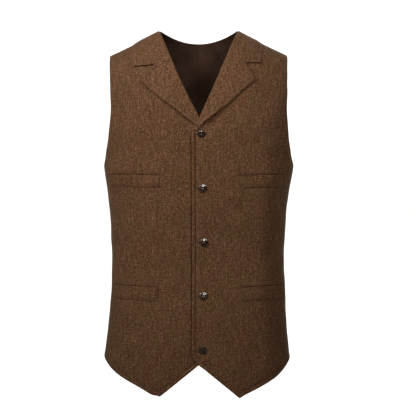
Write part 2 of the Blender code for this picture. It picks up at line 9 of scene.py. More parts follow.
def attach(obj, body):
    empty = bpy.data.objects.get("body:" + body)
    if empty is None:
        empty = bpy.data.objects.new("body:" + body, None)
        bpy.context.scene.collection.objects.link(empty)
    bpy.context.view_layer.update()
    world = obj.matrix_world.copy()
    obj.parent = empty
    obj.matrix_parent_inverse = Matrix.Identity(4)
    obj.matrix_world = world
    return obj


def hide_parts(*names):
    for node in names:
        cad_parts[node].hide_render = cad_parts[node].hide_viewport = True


# Suit waistcoat as it is worn: tweed fronts, lapels, collar and welts, a satin back, horn buttons.
# A cloth piece is a flat outline in metres round (u) and up (v) the body. It is filled with triangles,
# laid on one figure and given an outer and an inner face.
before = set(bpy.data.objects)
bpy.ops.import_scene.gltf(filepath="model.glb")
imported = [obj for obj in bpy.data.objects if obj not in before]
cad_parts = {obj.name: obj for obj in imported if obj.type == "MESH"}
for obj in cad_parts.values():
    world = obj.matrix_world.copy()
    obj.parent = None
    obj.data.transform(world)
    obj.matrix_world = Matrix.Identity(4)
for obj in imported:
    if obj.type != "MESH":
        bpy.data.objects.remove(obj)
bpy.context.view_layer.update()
print("frame loaded")

figure = {
    "chest": -0.235, "underarm": -0.261, "sideHem": -0.619, "backHem": -0.629, "backNeck": -0.018,
    "neckHalf": 0.0735, "shoulderHalf": 0.169, "shoulderDrop": 0.047, "shoulderHollow": 0.001,
    "neckRise": 0.0165, "ridgeHalf": 0.200, "riseDepth": 0.118, "ringHalf": 0.174,
    "front": {"power": 2.4, "ringDepth": 0.110}, "back": {"power": 2.6, "ringDepth": 0.098}, "risePower": 2.4,
    "levels": [-0.700, -0.625, -0.590, -0.540, -0.480, -0.438, -0.397, -0.345, -0.300, -0.261, -0.235],
    "halfWidth": [0.1820, 0.1775, 0.1740, 0.1695, 0.1660, 0.1655, 0.1660, 0.1690, 0.1745, 0.1812, 0.1830],
    "frontDepth": [0.1080, 0.1090, 0.1080, 0.1050, 0.1020, 0.1030, 0.1070, 0.1130, 0.1170, 0.1180, 0.1180],
    "backDepth": [0.1060, 0.1060, 0.1040, 0.0970, 0.0870, 0.0840, 0.0870, 0.0950, 0.1030, 0.1070, 0.1080],
}
cloth = {
    "frontWall": 0.0020, "backWall": 0.0015, "trimWall": 0.0020, "plyGap": 0.0004,
    "edgeStep": 0.0026, "gridStep": 0.0046, "backGrid": 0.0052,   # distance of points along edges and inside
    "edgeRounding": 0.00045, "innerRounding": 0.0003, "roundedWidth": 0.0016,
    "stitchInset": 0.0073, "grooveDepth": 0.0018, "grooveHalf": 0.00095,
    "stripPuff": 0.00070, "puffHalf": 0.0020,   # the strip between the stitches and the edge is full
    "grooveRows": (-1.6, -0.7, 0, 0.7, 1.6),   # rows of points over a groove, in half widths from its middle
    "calmTop": 0.04,   # creases die away in this much of the cloth below the shoulder seam
    # how far the lower part hangs, the levels it does so between, and how far out: to the wearer's right
    "sway": {"far": 0.0032, "levels": (-0.200, -0.620), "reach": (0.060, 0.165)},
    # and lower on the left, higher on the right
    "drop": {"far": 0.0022, "levels": (-0.420, -0.640), "reach": (0.070, 0.125)},
    # drawn in at the waist: how far and from which level up, the levels it dies away between above, and
    # the height it grows over below
    "nip": {"left": (0.0008, -0.555), "right": (0.0018, -0.605)},
    "nipStart": (-0.385, -0.440), "nipEnd": 0.040,
    # the under front lies in from one place across to the other, further where the lapels cross
    "tuck": {"across": (-0.062, -0.0165), "top": (-0.115, -0.162), "bottom": (-0.270, -0.200)},
    "lay": (0.61, 0.83),   # each piece is cut from its own place of the cloth
}
sides = {"left": 1, "right": -1}
samePlace = 1e-5   # points nearer than this are one
almost = 0.97   # share of a distance that counts as all of it
curveSamples, straightSamples = 401, 33


def smoothRead(keys, values, at):   # smooth curve through values at rising keys, level past both ends
    keys, values = np.asarray(keys, float), np.asarray(values, float)
    places = np.arange(len(keys))
    low, high = np.maximum(places - 1, 0), np.minimum(places + 1, len(keys) - 1)
    slope = (values[high] - values[low]) / (keys[high] - keys[low])
    at = np.clip(at, keys[0], keys[-1])
    i = np.clip(np.searchsorted(keys, at, side="right") - 1, 0, len(keys) - 2)
    width = keys[i + 1] - keys[i]
    part = (at - keys[i]) / width
    lift = part * part * (3 - 2 * part)
    lean = width * (part * (1 - part) ** 2 * slope[i] + part * part * (part - 1) * slope[i + 1])
    return values[i] * (1 - lift) + values[i + 1] * lift + lean


def fade(start, end, at):   # 0 at start, 1 at end
    part = np.clip((at - start) / (end - start), 0, 1)
    return part * part * (3 - 2 * part)


def groove(distance, half):   # 1 on a line, soft to nothing beside it
    return np.exp(-(distance / half) ** 2)


def roundedSquare(angle, power):
    return np.abs(np.sin(angle)) ** (2 / power), np.abs(np.cos(angle)) ** (2 / power)


def quarterRing(width, depth, power):   # angles, share of the length at each, and the whole length
    angles = np.linspace(0, math.pi / 2, curveSamples)
    across, along = roundedSquare(angles, power)
    steps = np.hypot(np.diff(width * across), np.diff(depth * along))
    lengths = np.concatenate([[0], np.cumsum(steps)])
    return angles, lengths / lengths[-1], lengths[-1]


rings = {half: quarterRing(figure["ringHalf"], figure[half]["ringDepth"], figure[half]["power"])
         for half in ("front", "back")}
riseRing = quarterRing(-figure["chest"], figure["riseDepth"], figure["risePower"])
girth = rings["front"][2]   # a quarter of the way round, in the cut
topLevel = figure["chest"] + riseRing[2]
chestHalf = figure["halfWidth"][-1]


def readFigure(name, level):
    return smoothRead(figure["levels"], figure[name], level)


def ridgeHeight(x):   # height of the shoulder seam at a distance from the middle
    across = np.abs(x)
    neck, end = figure["neckHalf"], figure["shoulderHalf"]
    part = (across - neck) / (end - neck)
    outer = -figure["shoulderDrop"] * part - 4 * figure["shoulderHollow"] * part * np.maximum(1 - part, 0)
    return np.where(across < neck, figure["neckRise"] * (1 - (across / neck) ** 2), outer)


def figurePoint(share, level):   # share 0 is centre front, 1 the side seam, 2 centre back
    around = np.abs(share)
    inFront = around <= 1
    angle = np.where(inFront, np.interp(around, rings["front"][1], rings["front"][0]),
                     np.interp(2 - around, rings["back"][1], rings["back"][0]))
    across, along = roundedSquare(angle, np.where(inFront, figure["front"]["power"], figure["back"]["power"]))
    depth = np.where(inFront, readFigure("frontDepth", level), readFigure("backDepth", level))
    high = level > figure["chest"]
    climb = np.interp((level - figure["chest"]) / riseRing[2], riseRing[1], riseRing[0])
    lift, reach = roundedSquare(climb, figure["risePower"])
    lift, reach = np.where(high, lift, 0), np.where(high, reach, 1)
    half = np.where(high, chestHalf + (figure["ridgeHalf"] - chestHalf) * lift,
                    readFigure("halfWidth", level))
    x = half * across
    y = depth * along * reach
    z = np.where(high, figure["chest"] + lift * (ridgeHeight(x) - figure["chest"]), level)
    return np.stack([np.copysign(x, share), np.where(inFront, -y, y), z], axis=-1)


def unit(vectors):
    return vectors / np.maximum(np.linalg.norm(vectors, axis=-1, keepdims=True), 1e-12)


def outward(share, level):
    turn, climb = 0.004, 0.0010
    around = figurePoint(share + turn, level) - figurePoint(share - turn, level)
    up = figurePoint(share, np.minimum(level + climb, topLevel)) - figurePoint(share, level - climb)
    return unit(np.cross(around, up))


def fromView(spots, half="front"):
    # place in the cut of what shows at x and z from straight in front or behind
    spots = np.asarray(spots, float).reshape(-1, 2)
    x, z = spots[:, 0], spots[:, 1]
    chest = figure["chest"]
    lift = np.clip((z - chest) / (ridgeHeight(x) - chest), 0, 1)
    climb = np.arcsin(lift ** (figure["risePower"] / 2))
    high = z > chest
    level = np.where(high, chest + riseRing[2] * np.interp(climb, riseRing[0], riseRing[1]), z)
    width = np.where(high, chestHalf + (figure["ridgeHalf"] - chestHalf) * lift, readFigure("halfWidth", z))
    angle = np.arcsin(np.minimum(np.abs(x) / width, 1) ** (figure[half]["power"] / 2))
    share = np.interp(angle, rings[half][0], rings[half][1])
    u = np.copysign(share, x) * girth if half == "front" else (2 - share) * girth
    return np.stack([u, level], axis=1)


def onShoulder(x):
    return np.array([[fromView([(x, float(ridgeHeight(x)))])[0, 0], topLevel]])


def lengthsOf(line):
    return np.concatenate([[0], np.cumsum(np.linalg.norm(np.diff(line, axis=0), axis=1))])


def readLine(line, lengths, marks):   # points of a line at distances along it
    return np.stack([np.interp(marks, lengths, line[:, k]) for k in (0, 1)], axis=1)


def evenSteps(line, step):   # the same line with points at even distances
    line = np.asarray(line, float)
    lengths = lengthsOf(line)
    return readLine(line, lengths, np.linspace(0, lengths[-1], max(round(lengths[-1] / step), 1) + 1))


def curveThrough(spots, step):
    spots = np.asarray(spots, float)
    lengths = lengthsOf(spots)
    marks = np.linspace(0, lengths[-1], curveSamples)
    return evenSteps(np.stack([smoothRead(lengths, spots[:, k], marks) for k in (0, 1)], axis=1), step)


def straightRun(step, *parts):
    return evenSteps(np.concatenate(parts), step)


def curvedRun(step, *parts):
    return curveThrough(np.concatenate(parts), step)


def seenStraight(start, end, step):   # a line of the cut that looks straight from in front
    marks = np.linspace(0, 1, straightSamples)[:, None]
    return evenSteps(fromView(np.asarray(start) * (1 - marks) + np.asarray(end) * marks), step)


def headings(line):   # from the point before to the point after
    places = np.arange(len(line))
    return line[np.minimum(places + 1, len(line) - 1)] - line[np.maximum(places - 1, 0)]


def joined(*lines):
    outline = [np.asarray(lines[0][0], float)]
    for line in lines:
        outline += [p for k, p in enumerate(line)
                    if np.linalg.norm(p - (line[k - 1] if k else outline[-1])) > samePlace]
    outline = np.array(outline)
    keep = np.linalg.norm(np.diff(outline, axis=0), axis=1) > samePlace
    outline = outline[np.concatenate([[True], keep])]
    return outline[:-1] if np.linalg.norm(outline[0] - outline[-1]) < samePlace else outline


def closed(outline):
    return np.concatenate([outline, outline[:1]])


def distanceTo(points, line):
    best = np.full(len(points), np.inf)
    for start, way in zip(line[:-1], np.diff(line, axis=0)):
        away = points - start
        part = np.clip(away @ way / max(way @ way, 1e-18), 0, 1)
        best = np.minimum(best, np.linalg.norm(away - part[:, None] * way, axis=1))
    return best


def insideOf(points, outline):
    inside = np.zeros(len(points), bool)
    for a, b in zip(np.roll(outline, 1, 0), outline):
        if a[1] != b[1]:
            crossed = (a[1] > points[:, 1]) != (b[1] > points[:, 1])
            inside ^= crossed & (points[:, 0] < a[0] + (b[0] - a[0]) * (points[:, 1] - a[1]) / (b[1] - a[1]))
    return inside


def inset(line, distance, isClosed=False):   # a line beside this one, on its left, where the cloth lies
    around = closed(line) if isClosed else line
    ahead = (np.roll(line, -1, 0) - np.roll(line, 1, 0)) if isClosed else np.gradient(line, axis=0)
    moved = line + distance * unit(np.stack([-ahead[:, 1], ahead[:, 0]], axis=1))
    return moved[distanceTo(moved, around) > almost * distance]


def grooveRows(line, middle):   # rows of points over a groove that runs beside a line
    return [inset(line, middle + k * cloth["grooveHalf"]) for k in cloth["grooveRows"]]


def triangulate(points, loops, near):   # triangles between closed loops, each its first point and its count
    edges = [(first + k, first + (k + 1) % count) for first, count in loops for k in range(count)]
    flat, _, faces, _, _, _ = delaunay_2d_cdt([Vector(p) for p in points], edges, [], 1, near)
    return np.array([tuple(p) for p in flat], float), np.array([tuple(f) for f in faces], int)


# rows beside the edges, how far the others keep off them, and the grid inside in shares of its step
filling = {"edgeRows": (0.0004, 0.0011, 0.0022), "offEdge": 0.0003, "cell": 0.0004, "offRows": 0.55,
           "rowRise": 0.866, "rowStart": 0.4}


def fillCut(outline, rows, step):   # triangles of a flat outline, with points along the rows beside its edges
    extra = np.concatenate([inset(outline, d, True) for d in filling["edgeRows"]] + rows)
    extra = extra[insideOf(extra, outline) & (distanceTo(extra, closed(outline)) > filling["offEdge"])]
    _, first = np.unique(np.round(extra / filling["cell"]).astype(int), axis=0, return_index=True)
    extra = extra[np.sort(first)]
    low, high = outline.min(0), outline.max(0)
    tall = step * filling["rowRise"]
    grid = []
    for row in range(int((high[1] - low[1]) / tall) + 1):
        across = np.arange(low[0] + row % 2 * 0.5 * step, high[0], step)
        grid.append(np.stack([across, np.full(len(across), low[1] + (row + filling["rowStart"]) * tall)],
                             axis=1))
    grid = np.concatenate(grid)
    grid = grid[insideOf(grid, outline)]
    placed = np.concatenate([outline, extra])
    tree = kdtree.KDTree(len(placed))
    for k, p in enumerate(placed):
        tree.insert((p[0], p[1], 0), k)
    tree.balance()
    apart = filling["offRows"] * step
    grid = np.array([p for p in grid if tree.find((p[0], p[1], 0))[2] > apart]).reshape(-1, 2)
    return triangulate(np.concatenate([placed, grid]), [(0, len(outline))], 1e-7)


# Soft troughs of the worn cloth, the same as the solids have. Columns: both ends in shares of the way
# round and level, half width, depth
backFolds = {
    "left": [
        ([(1.72, -0.330), (1.69, -0.560)], 0.017, 0.0032),
        ([(1.34, -0.290), (1.45, -0.470)], 0.020, 0.0036),
        ([(1.50, -0.420), (1.55, -0.610)], 0.015, 0.0022),
    ],
    "right": [
        ([(1.78, -0.360), (1.74, -0.530)], 0.016, 0.0026),
        ([(1.36, -0.300), (1.50, -0.500)], 0.021, 0.0040),
        ([(1.22, -0.440), (1.27, -0.600)], 0.017, 0.0024),
    ],
}
# Creases that only the cloth's look has. Columns: path in metres round and up, half width, depth of a
# trough, which is negative for a ridge
creases = {
    "left": [
        ([(0.148, -0.092), (0.142, -0.128)], 0.024, -0.0030),
        ([(0.136, -0.190), (0.150, -0.238)], 0.018, 0.0024),
        ([(0.006, -0.206), (0.024, -0.184), (0.044, -0.158)], 0.010, 0.0018),
        ([(0.166, -0.286), (0.176, -0.340)], 0.012, 0.0012),
        ([(0.207, -0.418), (0.176, -0.427), (0.146, -0.424)], 0.0085, 0.0013),
        ([(0.207, -0.456), (0.182, -0.468), (0.162, -0.470)], 0.0080, 0.0011),
        ([(0.050, -0.238), (0.082, -0.214), (0.104, -0.185)], 0.011, -0.0006),
        ([(0.062, -0.330), (0.050, -0.400), (0.056, -0.470)], 0.014, 0.0008),
        ([(0.118, -0.545), (0.108, -0.610), (0.094, -0.650)], 0.015, 0.0013),
        ([(0.160, -0.560), (0.170, -0.625)], 0.013, 0.0012),
        ([(0.132, -0.170), (0.132, -0.300), (0.124, -0.470), (0.130, -0.640)], 0.028, -0.0033),
        ([(0.060, -0.500), (0.170, -0.495)], 0.060, -0.0046),
    ],
    "right": [
        ([(0.145, -0.128), (0.150, -0.180), (0.158, -0.226)], 0.015, 0.0017),
        ([(0.207, -0.398), (0.178, -0.409), (0.150, -0.402)], 0.0090, 0.0014),
        ([(0.207, -0.440), (0.186, -0.447), (0.171, -0.452)], 0.0075, 0.0010),
        ([(0.052, -0.246), (0.088, -0.222)], 0.012, -0.0007),
        ([(0.070, -0.345), (0.060, -0.410), (0.066, -0.462)], 0.015, 0.0009),
        ([(0.126, -0.560), (0.120, -0.615)], 0.017, 0.0011),
        ([(0.048, -0.560), (0.056, -0.640)], 0.014, -0.0008),
    ],
}
swells = [   # turns round the body, waves up it, height, and where each starts round and up
    (3, 9.0, 0.00035, 0.4, 1.1), (5, 17.0, 0.00028, 2.1, 0.2), (8, 12.0, 0.00022, 4.0, 2.7),
    (13, 26.0, 0.00014, 1.3, 3.9),
]


def fold(side, uv):
    depth = np.zeros(len(uv))
    for ends, half, deep in backFolds[side]:
        line = np.array([(share * girth, level) for share, level in ends])
        depth += deep * groove(distanceTo(uv, line), half)
    return depth


def drape(side, uv):   # soft creases and slow swells of worn cloth, positive is out
    lying = np.zeros(len(uv))
    for path, half, depth in creases[side]:
        lying -= depth * groove(distanceTo(uv, curveThrough(path, 0.008)), half)
    angle = math.pi / 2 * sides[side] * uv[:, 0] / girth
    for turns, waves, height, startRound, startUp in swells:
        swell = height * np.sin(turns * angle + startRound)
        lying += swell * np.sin(waves * 2 * math.pi * uv[:, 1] + startUp)
    return lying * fade(topLevel, topLevel - cloth["calmTop"], uv[:, 1])


def tuck(point):   # how far the under front lies in, so that the over front can cross it
    shape, wall, gap = cloth["tuck"], cloth["frontWall"], cloth["plyGap"]
    crossing = fade(*shape["top"], point[:, 2]) * fade(*shape["bottom"], point[:, 2])
    return fade(*shape["across"], point[:, 0]) * (wall + gap + crossing * (cloth["trimWall"] + gap))


def placeOn(side, uv, out):   # world place of points of the cut, a distance out of the cloth
    uv = np.asarray(uv, float)
    share = sides[side] * uv[:, 0] / girth
    point = figurePoint(share, uv[:, 1])
    lying = out - fold(side, uv) + drape(side, uv)
    if side == "right":
        lying = lying - np.where(uv[:, 0] < girth, tuck(point), 0)
    placed = point + outward(share, uv[:, 1]) * lying[:, None]
    far, z = np.abs(point[:, 0]), point[:, 2]
    sway, drop, (inward, end) = cloth["sway"], cloth["drop"], cloth["nip"][side]
    placed[:, 0] -= sway["far"] * fade(*sway["levels"], z) * fade(*sway["reach"], far)
    waist = fade(*cloth["nipStart"], z) * fade(end, end + cloth["nipEnd"], z)
    placed[:, 0] -= sides[side] * inward * waist * fade(*sway["reach"], far)
    placed[:, 2] -= drop["far"] * np.sign(point[:, 0]) * fade(*drop["levels"], z) * fade(*drop["reach"], far)
    return placed


def outwardAt(side, uv):
    return outward(sides[side] * uv[:, 0] / girth, uv[:, 1])


def addPiece(name, points, polygons, materials):
    mesh = bpy.data.meshes.new(name)
    mesh.from_pydata(points, [], polygons)
    for material in materials:
        mesh.materials.append(material)
    mesh.shade_smooth()
    piece = bpy.data.objects.new(name, mesh)
    bpy.context.scene.collection.objects.link(piece)
    return piece


def thickCloth(name, outer, inner, faces, cut, materials, mirrored=False):
    # closed piece from two faces that share their triangles, with the cut as its texture map in metres
    count = len(outer)
    sided = {(f[k], f[(k + 1) % 3]) for f in faces.tolist() for k in range(3)}
    rim = sorted((a, b) for a, b in sided if (b, a) not in sided)
    polygons = faces.tolist() + [[f[2] + count, f[1] + count, f[0] + count] for f in faces.tolist()]
    polygons += [[b, a, a + count, b + count] for a, b in rim]
    maps = [cut[f] for f in faces] + [cut[f[::-1]] for f in faces]
    for a, b in rim:
        way = unit(cut[b] - cut[a])
        over = np.array([way[1], -way[0]]) * cloth["frontWall"]
        maps.append(np.array([cut[b], cut[a], cut[a] + over, cut[b] + over]))
    if mirrored:
        polygons = [p[::-1] for p in polygons]
        maps = [m[::-1] for m in maps]
    piece = addPiece(name, np.concatenate([outer, inner]).tolist(), polygons, materials)
    layer = piece.data.uv_layers.new(name="cut")
    lay = np.array(cloth["lay"]) * len(bpy.data.meshes)
    layer.data.foreach_set("uv", (np.concatenate(maps) + lay).astype(np.float32).ravel())
    if len(materials) > 1:   # the second one lines the piece
        index = np.zeros(len(polygons), np.int32)
        index[len(faces):2 * len(faces)] = 1
        piece.data.polygons.foreach_set("material_index", index)
    return piece


threadShape = {
    "corners": 6, "endSize": 0.55,
    # along a stitch, in shares of its length from the middle, and heights in threads; then along a
    # crossing thread, in shares of the way over, and heights in shares of its rise
    "stitch": ((-0.5, -0.36, 0.0, 0.36, 0.5), (-1.1, 0.15, 0.45, 0.15, -1.1)),
    "cross": ((0.0, 0.12, 0.5, 0.88, 1.0), (-1.2, 0.35, 1.0, 0.35, -1.2)),
    "fineStep": 0.0008, "waver": (0.0002, 2.4),   # hand-like unevenness of the pitch
}
stitches = {"pitch": 0.0032, "length": 0.0026, "thread": 0.00070}
weltStitches = {"pitch": 0.0024, "length": 0.0018, "thread": 0.00042}


def tubes(name, paths, ups, thread, material):
    # many short closed threads in one piece: paths is runs x points x 3, ups the direction out of the cloth
    corners = threadShape["corners"]
    aside = unit(np.cross(np.gradient(paths, axis=1), ups))
    up = unit(np.cross(aside, np.gradient(paths, axis=1)))
    turn = np.linspace(0, 2 * math.pi, corners, endpoint=False)[None, None, :, None]
    size = np.full(paths.shape[1], thread / 2)
    size[[0, -1]] *= threadShape["endSize"]
    ring = np.cos(turn) * aside[:, :, None] + np.sin(turn) * up[:, :, None]
    points = paths[:, :, None] + ring * size[None, :, None, None]
    runs, steps = paths.shape[:2]
    polygons = []
    for run in range(runs):
        base = run * steps * corners
        for low in range(base, base + (steps - 1) * corners, corners):
            for c in range(corners):
                d = (c + 1) % corners
                polygons.append((low + c, low + d, low + corners + d, low + corners + c))
        polygons.append([base + c for c in range(corners)][::-1])
        polygons.append([base + (steps - 1) * corners + c for c in range(corners)])
    return addPiece(name, points.reshape(-1, 3).tolist(), polygons, [material])


def laidThreads(name, side, face, uv, heights, thread, material):
    # a thread for each row of points, laid on a face
    flat, shape = uv.reshape(-1, 2), uv.shape[:2] + (3,)
    points = face(flat, np.tile(heights, len(uv)))
    return tubes(name, points.reshape(shape), outwardAt(side, flat).reshape(shape), thread, material)


def stitchRow(name, side, face, line, row):   # short threads that dive into the cloth at both ends
    line = evenSteps(line, threadShape["fineStep"])
    lengths = lengthsOf(line)
    numbers = np.arange(int(lengths[-1] / row["pitch"]))
    waver, turn = threadShape["waver"]
    middles = (numbers + 0.5) * lengths[-1] / len(numbers) + waver * np.sin(numbers * turn)
    along, high = np.array(threadShape["stitch"])
    marks = middles[:, None] + row["length"] * along
    uv = readLine(line, lengths, marks.ravel()).reshape(len(numbers), -1, 2)
    return laidThreads(name, side, face, uv, high * row["thread"], row["thread"], stitchThreadWithPaintedShade)


def crossThreads(name, side, face, ends, row, material):   # threads laid over the cloth from end to end
    along, high = np.array(threadShape["cross"])
    along = along[None, :, None]
    uv = ends[:, None, 0] * (1 - along) + ends[:, None, 1] * along
    return laidThreads(name, side, face, uv, high * row["rise"], row["thread"], material)


def edgeDrop(distance, depth):   # how far a rounded edge falls away at a distance from it
    return depth * np.clip(1 - distance / cloth["roundedWidth"], 0, 1) ** 2


def toLinear(code):   # sRGB hex to the linear colour that nodes take
    parts = [int(code[k:k + 2], 16) / 255 for k in (1, 3, 5)]
    return tuple(c / 12.92 if c <= 0.04045 else ((c + 0.055) / 1.055) ** 2.4 for c in parts) + (1.0,)


def paled(colour, times):
    return tuple(c * times for c in colour[:3]) + (1.0,)


def addNode(tree, kind, settings=(), links=()):   # one node with its settings and what feeds it
    made = tree.nodes.new("ShaderNode" + kind)
    for name, value in dict(settings).items():
        if isinstance(name, str) and hasattr(made, name):
            setattr(made, name, value)
        else:
            made.inputs[name].default_value = value
    for name, source in dict(links).items():
        tree.links.new(made.inputs[name], source)
    return made


def newMaterial(name, place):   # with the place that its pattern hangs on: the flat cut or the object
    material = bpy.data.materials.new(name)
    material.use_nodes = True
    tree = material.node_tree
    tree.nodes.clear()
    if place == "cut":
        return material, tree, addNode(tree, "UVMap", {"uv_map": "cut"}).outputs["UV"]
    return material, tree, addNode(tree, "TexCoord").outputs["Object"]


def shadeWith(tree, settings, links, bump=None):
    links = dict(links)
    if bump:
        height, strength, distance = bump
        links["Normal"] = addNode(tree, "Bump", {"Strength": strength, "Distance": distance},
                                  {"Height": height}).outputs["Normal"]
    shader = addNode(tree, "BsdfPrincipled", settings, links)
    addNode(tree, "OutputMaterial", {}, {"Surface": shader.outputs[0]})


def drifts(tree, place, scale, detail=2.0, distortion=0.0):   # uneven lighter and darker places
    return addNode(tree, "TexNoise", {"Scale": scale, "Detail": detail, "Distortion": distortion},
                   {"Vector": place}).outputs["Fac"]


def yarns(tree, cut, width, height, detail=2.0):   # the same, drawn out to the size of a yarn
    sized = addNode(tree, "Mapping", {"Scale": (1 / width, 1 / height, 1)}, {"Vector": cut}).outputs["Vector"]
    return drifts(tree, sized, 1.0, detail)


def laidOver(tree, pattern, share, base):   # a share of a pattern on top of a number or another pattern
    settings, links = {"operation": "MULTIPLY_ADD", 1: share}, {0: pattern}
    (settings if isinstance(base, float) else links)[2] = base
    return addNode(tree, "Math", settings, links).outputs[0]


def dyed(tree, value, stops):   # colour by a value: rising places and the linear colour at each
    ramp = addNode(tree, "ValToRGB", {}, {"Fac": value})
    shades = ramp.color_ramp.elements
    for shade, (place, colour) in zip((shades[0], shades[1]), (stops[0], stops[-1])):
        shade.position, shade.color = place, colour
    for place, colour in stops[1:-1]:
        shades.new(place).color = colour
    return ramp.outputs["Color"]


def linearStops(stops, times=1.0):
    return [(place, paled(toLinear(colour), times)) for place, colour in stops]


tweedFinish = {
    "browns": ((0.18, "#2A1508"), (0.50, "#4E3421"), (0.68, "#654A35"), (0.92, "#796049")),
    # what some yarns lack of the brown: olive, plain and rust, in patches of two sizes
    "dyeLots": ((0.36, "#F4FFEC"), (0.50, "#FFFFFF"), (0.64, "#FFF5F6")), "dyeSize": (0.0160, 0.0420),
    # herringbone, 3 times as coarse as the real 3 mm ribs so that it shows
    "ribWidth": 0.0090, "ribPitch": 0.0034, "ribLean": 1.5, "ribShare": 0.04, "ribHeight": 0.12,
    "mix": {   # width and height of the yarns, flecks and clouds in metres, and the share of each in the mix
        "yarn": (0.0024, 0.0019, 0.74), "slub": (0.0024, 0.0055, 0.52), "warp": (0.0021, 0.0320, 0.40),
        "weft": (0.0076, 0.0019, 0.42), "heather": (0.0042, 0.0042, 0.16), "cloud": (0.0450, 0.0600, 0.10),
    },
    # in patches warp or weft faces up: size of both yarns, size and edge of the patches, and their share
    "warpUp": (0.0022, 0.0200), "weftUp": (0.0140, 0.0019), "facing": (0.0180, 0.0240, 0.34, 0.66),
    "facingShare": 0.40,
    "settings": {"Roughness": 0.92, "Sheen Weight": 0.18, "Sheen Roughness": 0.40,
                 "Sheen Tint": toLinear("#BCAA94"), "Specular IOR Level": 0.10},
    "bump": (0.55, 0.0006),
}


def makeTweed(name, grainTurn=0.0, paintedLighter=1.0):
    # wool herringbone tweed of mixed brown yarns, brushed: dull, mottled, with a faint fuzz at its edges
    f = tweedFinish
    material, tree, cut = newMaterial(name, "cut")
    if grainTurn:
        cut = addNode(tree, "Mapping", {"Rotation": (0, 0, grainTurn)}, {"Vector": cut}).outputs["Vector"]
    parts = addNode(tree, "SeparateXYZ", {}, {"Vector": cut}).outputs
    zigzag = addNode(tree, "Math", {"operation": "PINGPONG", 1: f["ribWidth"]}, {0: parts["X"]}).outputs[0]
    rise = 2 * math.pi / f["ribPitch"]
    climbed = laidOver(tree, parts["Y"], rise, laidOver(tree, zigzag, rise * f["ribLean"], 0.0))
    rib = addNode(tree, "Math", {"operation": "SINE"}, {0: climbed}).outputs[0]
    # every pattern averages a half, and the sum is brought back to a half
    middle = 0.5 - sum(row[2] for row in f["mix"].values()) / 2 - f["facingShare"] / 2
    value = laidOver(tree, rib, f["ribShare"], middle)
    for width, height, share in f["mix"].values():
        value = laidOver(tree, yarns(tree, cut, width, height), share, value)
    width, height, low, high = f["facing"]
    patch = addNode(tree, "MapRange", {"From Min": low, "From Max": high},
                    {"Value": yarns(tree, cut, width, height, 1.0)}).outputs["Result"]
    warpUp, weftUp = [yarns(tree, cut, *f[name]) for name in ("warpUp", "weftUp")]
    faced = addNode(tree, "Mix", {"data_type": "FLOAT"}, {0: patch, 2: warpUp, 3: weftUp}).outputs[0]
    value = laidOver(tree, faced, f["facingShare"], value)
    # paintedLighter above 1 paints light into the browns: a lighter copy of the same cloth
    brown = dyed(tree, value, linearStops(f["browns"], paintedLighter))
    fine, broad = [yarns(tree, cut, size, size, 1.0) for size in f["dyeSize"]]
    lots = dyed(tree, laidOver(tree, fine, 0.5, laidOver(tree, broad, 0.5, 0.0)), linearStops(f["dyeLots"]))
    coloured = addNode(tree, "Mix", {"data_type": "RGBA", "blend_type": "MULTIPLY", 0: 1.0},
                       {6: brown, 7: lots}).outputs[2]
    height = laidOver(tree, rib, f["ribHeight"], value)
    shadeWith(tree, f["settings"], {"Base Color": coloured}, (height, *f["bump"]))
    return material


satinFinish = {
    "browns": ((0.35, "#241710"), (0.75, "#483327")), "thread": 0.0011, "floatLength": 14, "clouds": 22.0,
    "cloudShare": 0.6, "threadShare": 0.5, "roughness": (0.38, 0.54), "bump": (0.25, 0.0003),
    "settings": {"Specular IOR Level": 0.20, "Anisotropic": 0.35},
}


def makeSatin():
    # dark brown woven satin: long warp floats give a soft shine and fine upright threads
    f = satinFinish
    material, tree, cut = newMaterial("brownSatin", "cut")
    thread = yarns(tree, cut, f["thread"], f["floatLength"] * f["thread"])
    value = laidOver(tree, drifts(tree, cut, f["clouds"]), f["cloudShare"],
                     laidOver(tree, thread, f["threadShare"], 0.0))
    smooth, rough = f["roughness"]
    glossy = addNode(tree, "MapRange", {"From Min": 0.3, "From Max": 0.7, "To Min": smooth, "To Max": rough},
                     {"Value": thread}).outputs["Result"]
    colour = dyed(tree, value, linearStops(f["browns"]))
    shadeWith(tree, f["settings"], {"Base Color": colour, "Roughness": glossy}, (thread, *f["bump"]))
    return material


hornFinish = {
    "browns": ((0.42, "#120904"), (0.72, "#402819")), "grain": 0.0030, "drawn": 0.3,
    "grainLean": (0.3, 0.2, 0.7),
    "settings": {"Roughness": 0.15, "IOR": 1.55, "Coat Weight": 0.70, "Coat Roughness": 0.08},
}


def makeHorn():
    # buffalo horn, turned and polished: near black with brown drifts and a clear wet shine
    f = hornFinish
    material, tree, place = newMaterial("polishedHorn", "object")
    scale = (1 / f["grain"], f["drawn"] / f["grain"], 1 / f["grain"])
    drawn = addNode(tree, "Mapping", {"Rotation": f["grainLean"], "Scale": scale},
                    {"Vector": place}).outputs["Vector"]
    colour = dyed(tree, drifts(tree, drawn, 1.0, 3.0, 0.6), linearStops(f["browns"]))
    shadeWith(tree, f["settings"], {"Base Color": colour})
    return material


# the stitches' thread is near black: partly its own dark colour, partly painted shade of the groove the
# stitches pull in
threadFinish = {"stitches": "#1D120C", "buttonhole": "#3B281B", "button": "#45362B", "twist": 0.0005,
                "shades": ((0.35, 0.75), (0.65, 1.25)), "bump": (0.4, 0.0001),
                "settings": {"Roughness": 0.7, "Sheen Weight": 0.1}}


def makeThread(name, colour):
    # twisted polyester sewing thread: dull, a touch darker than the cloth it sinks into
    f = threadFinish
    material, tree, place = newMaterial(name, "object")
    twist = drifts(tree, place, 1 / f["twist"], 1.0)
    shades = dyed(tree, twist, [(at, paled(toLinear(f[colour]), times)) for at, times in f["shades"]])
    shadeWith(tree, f["settings"], {"Base Color": shades}, (twist, *f["bump"]))
    return material


tweed = makeTweed("brownTweed")
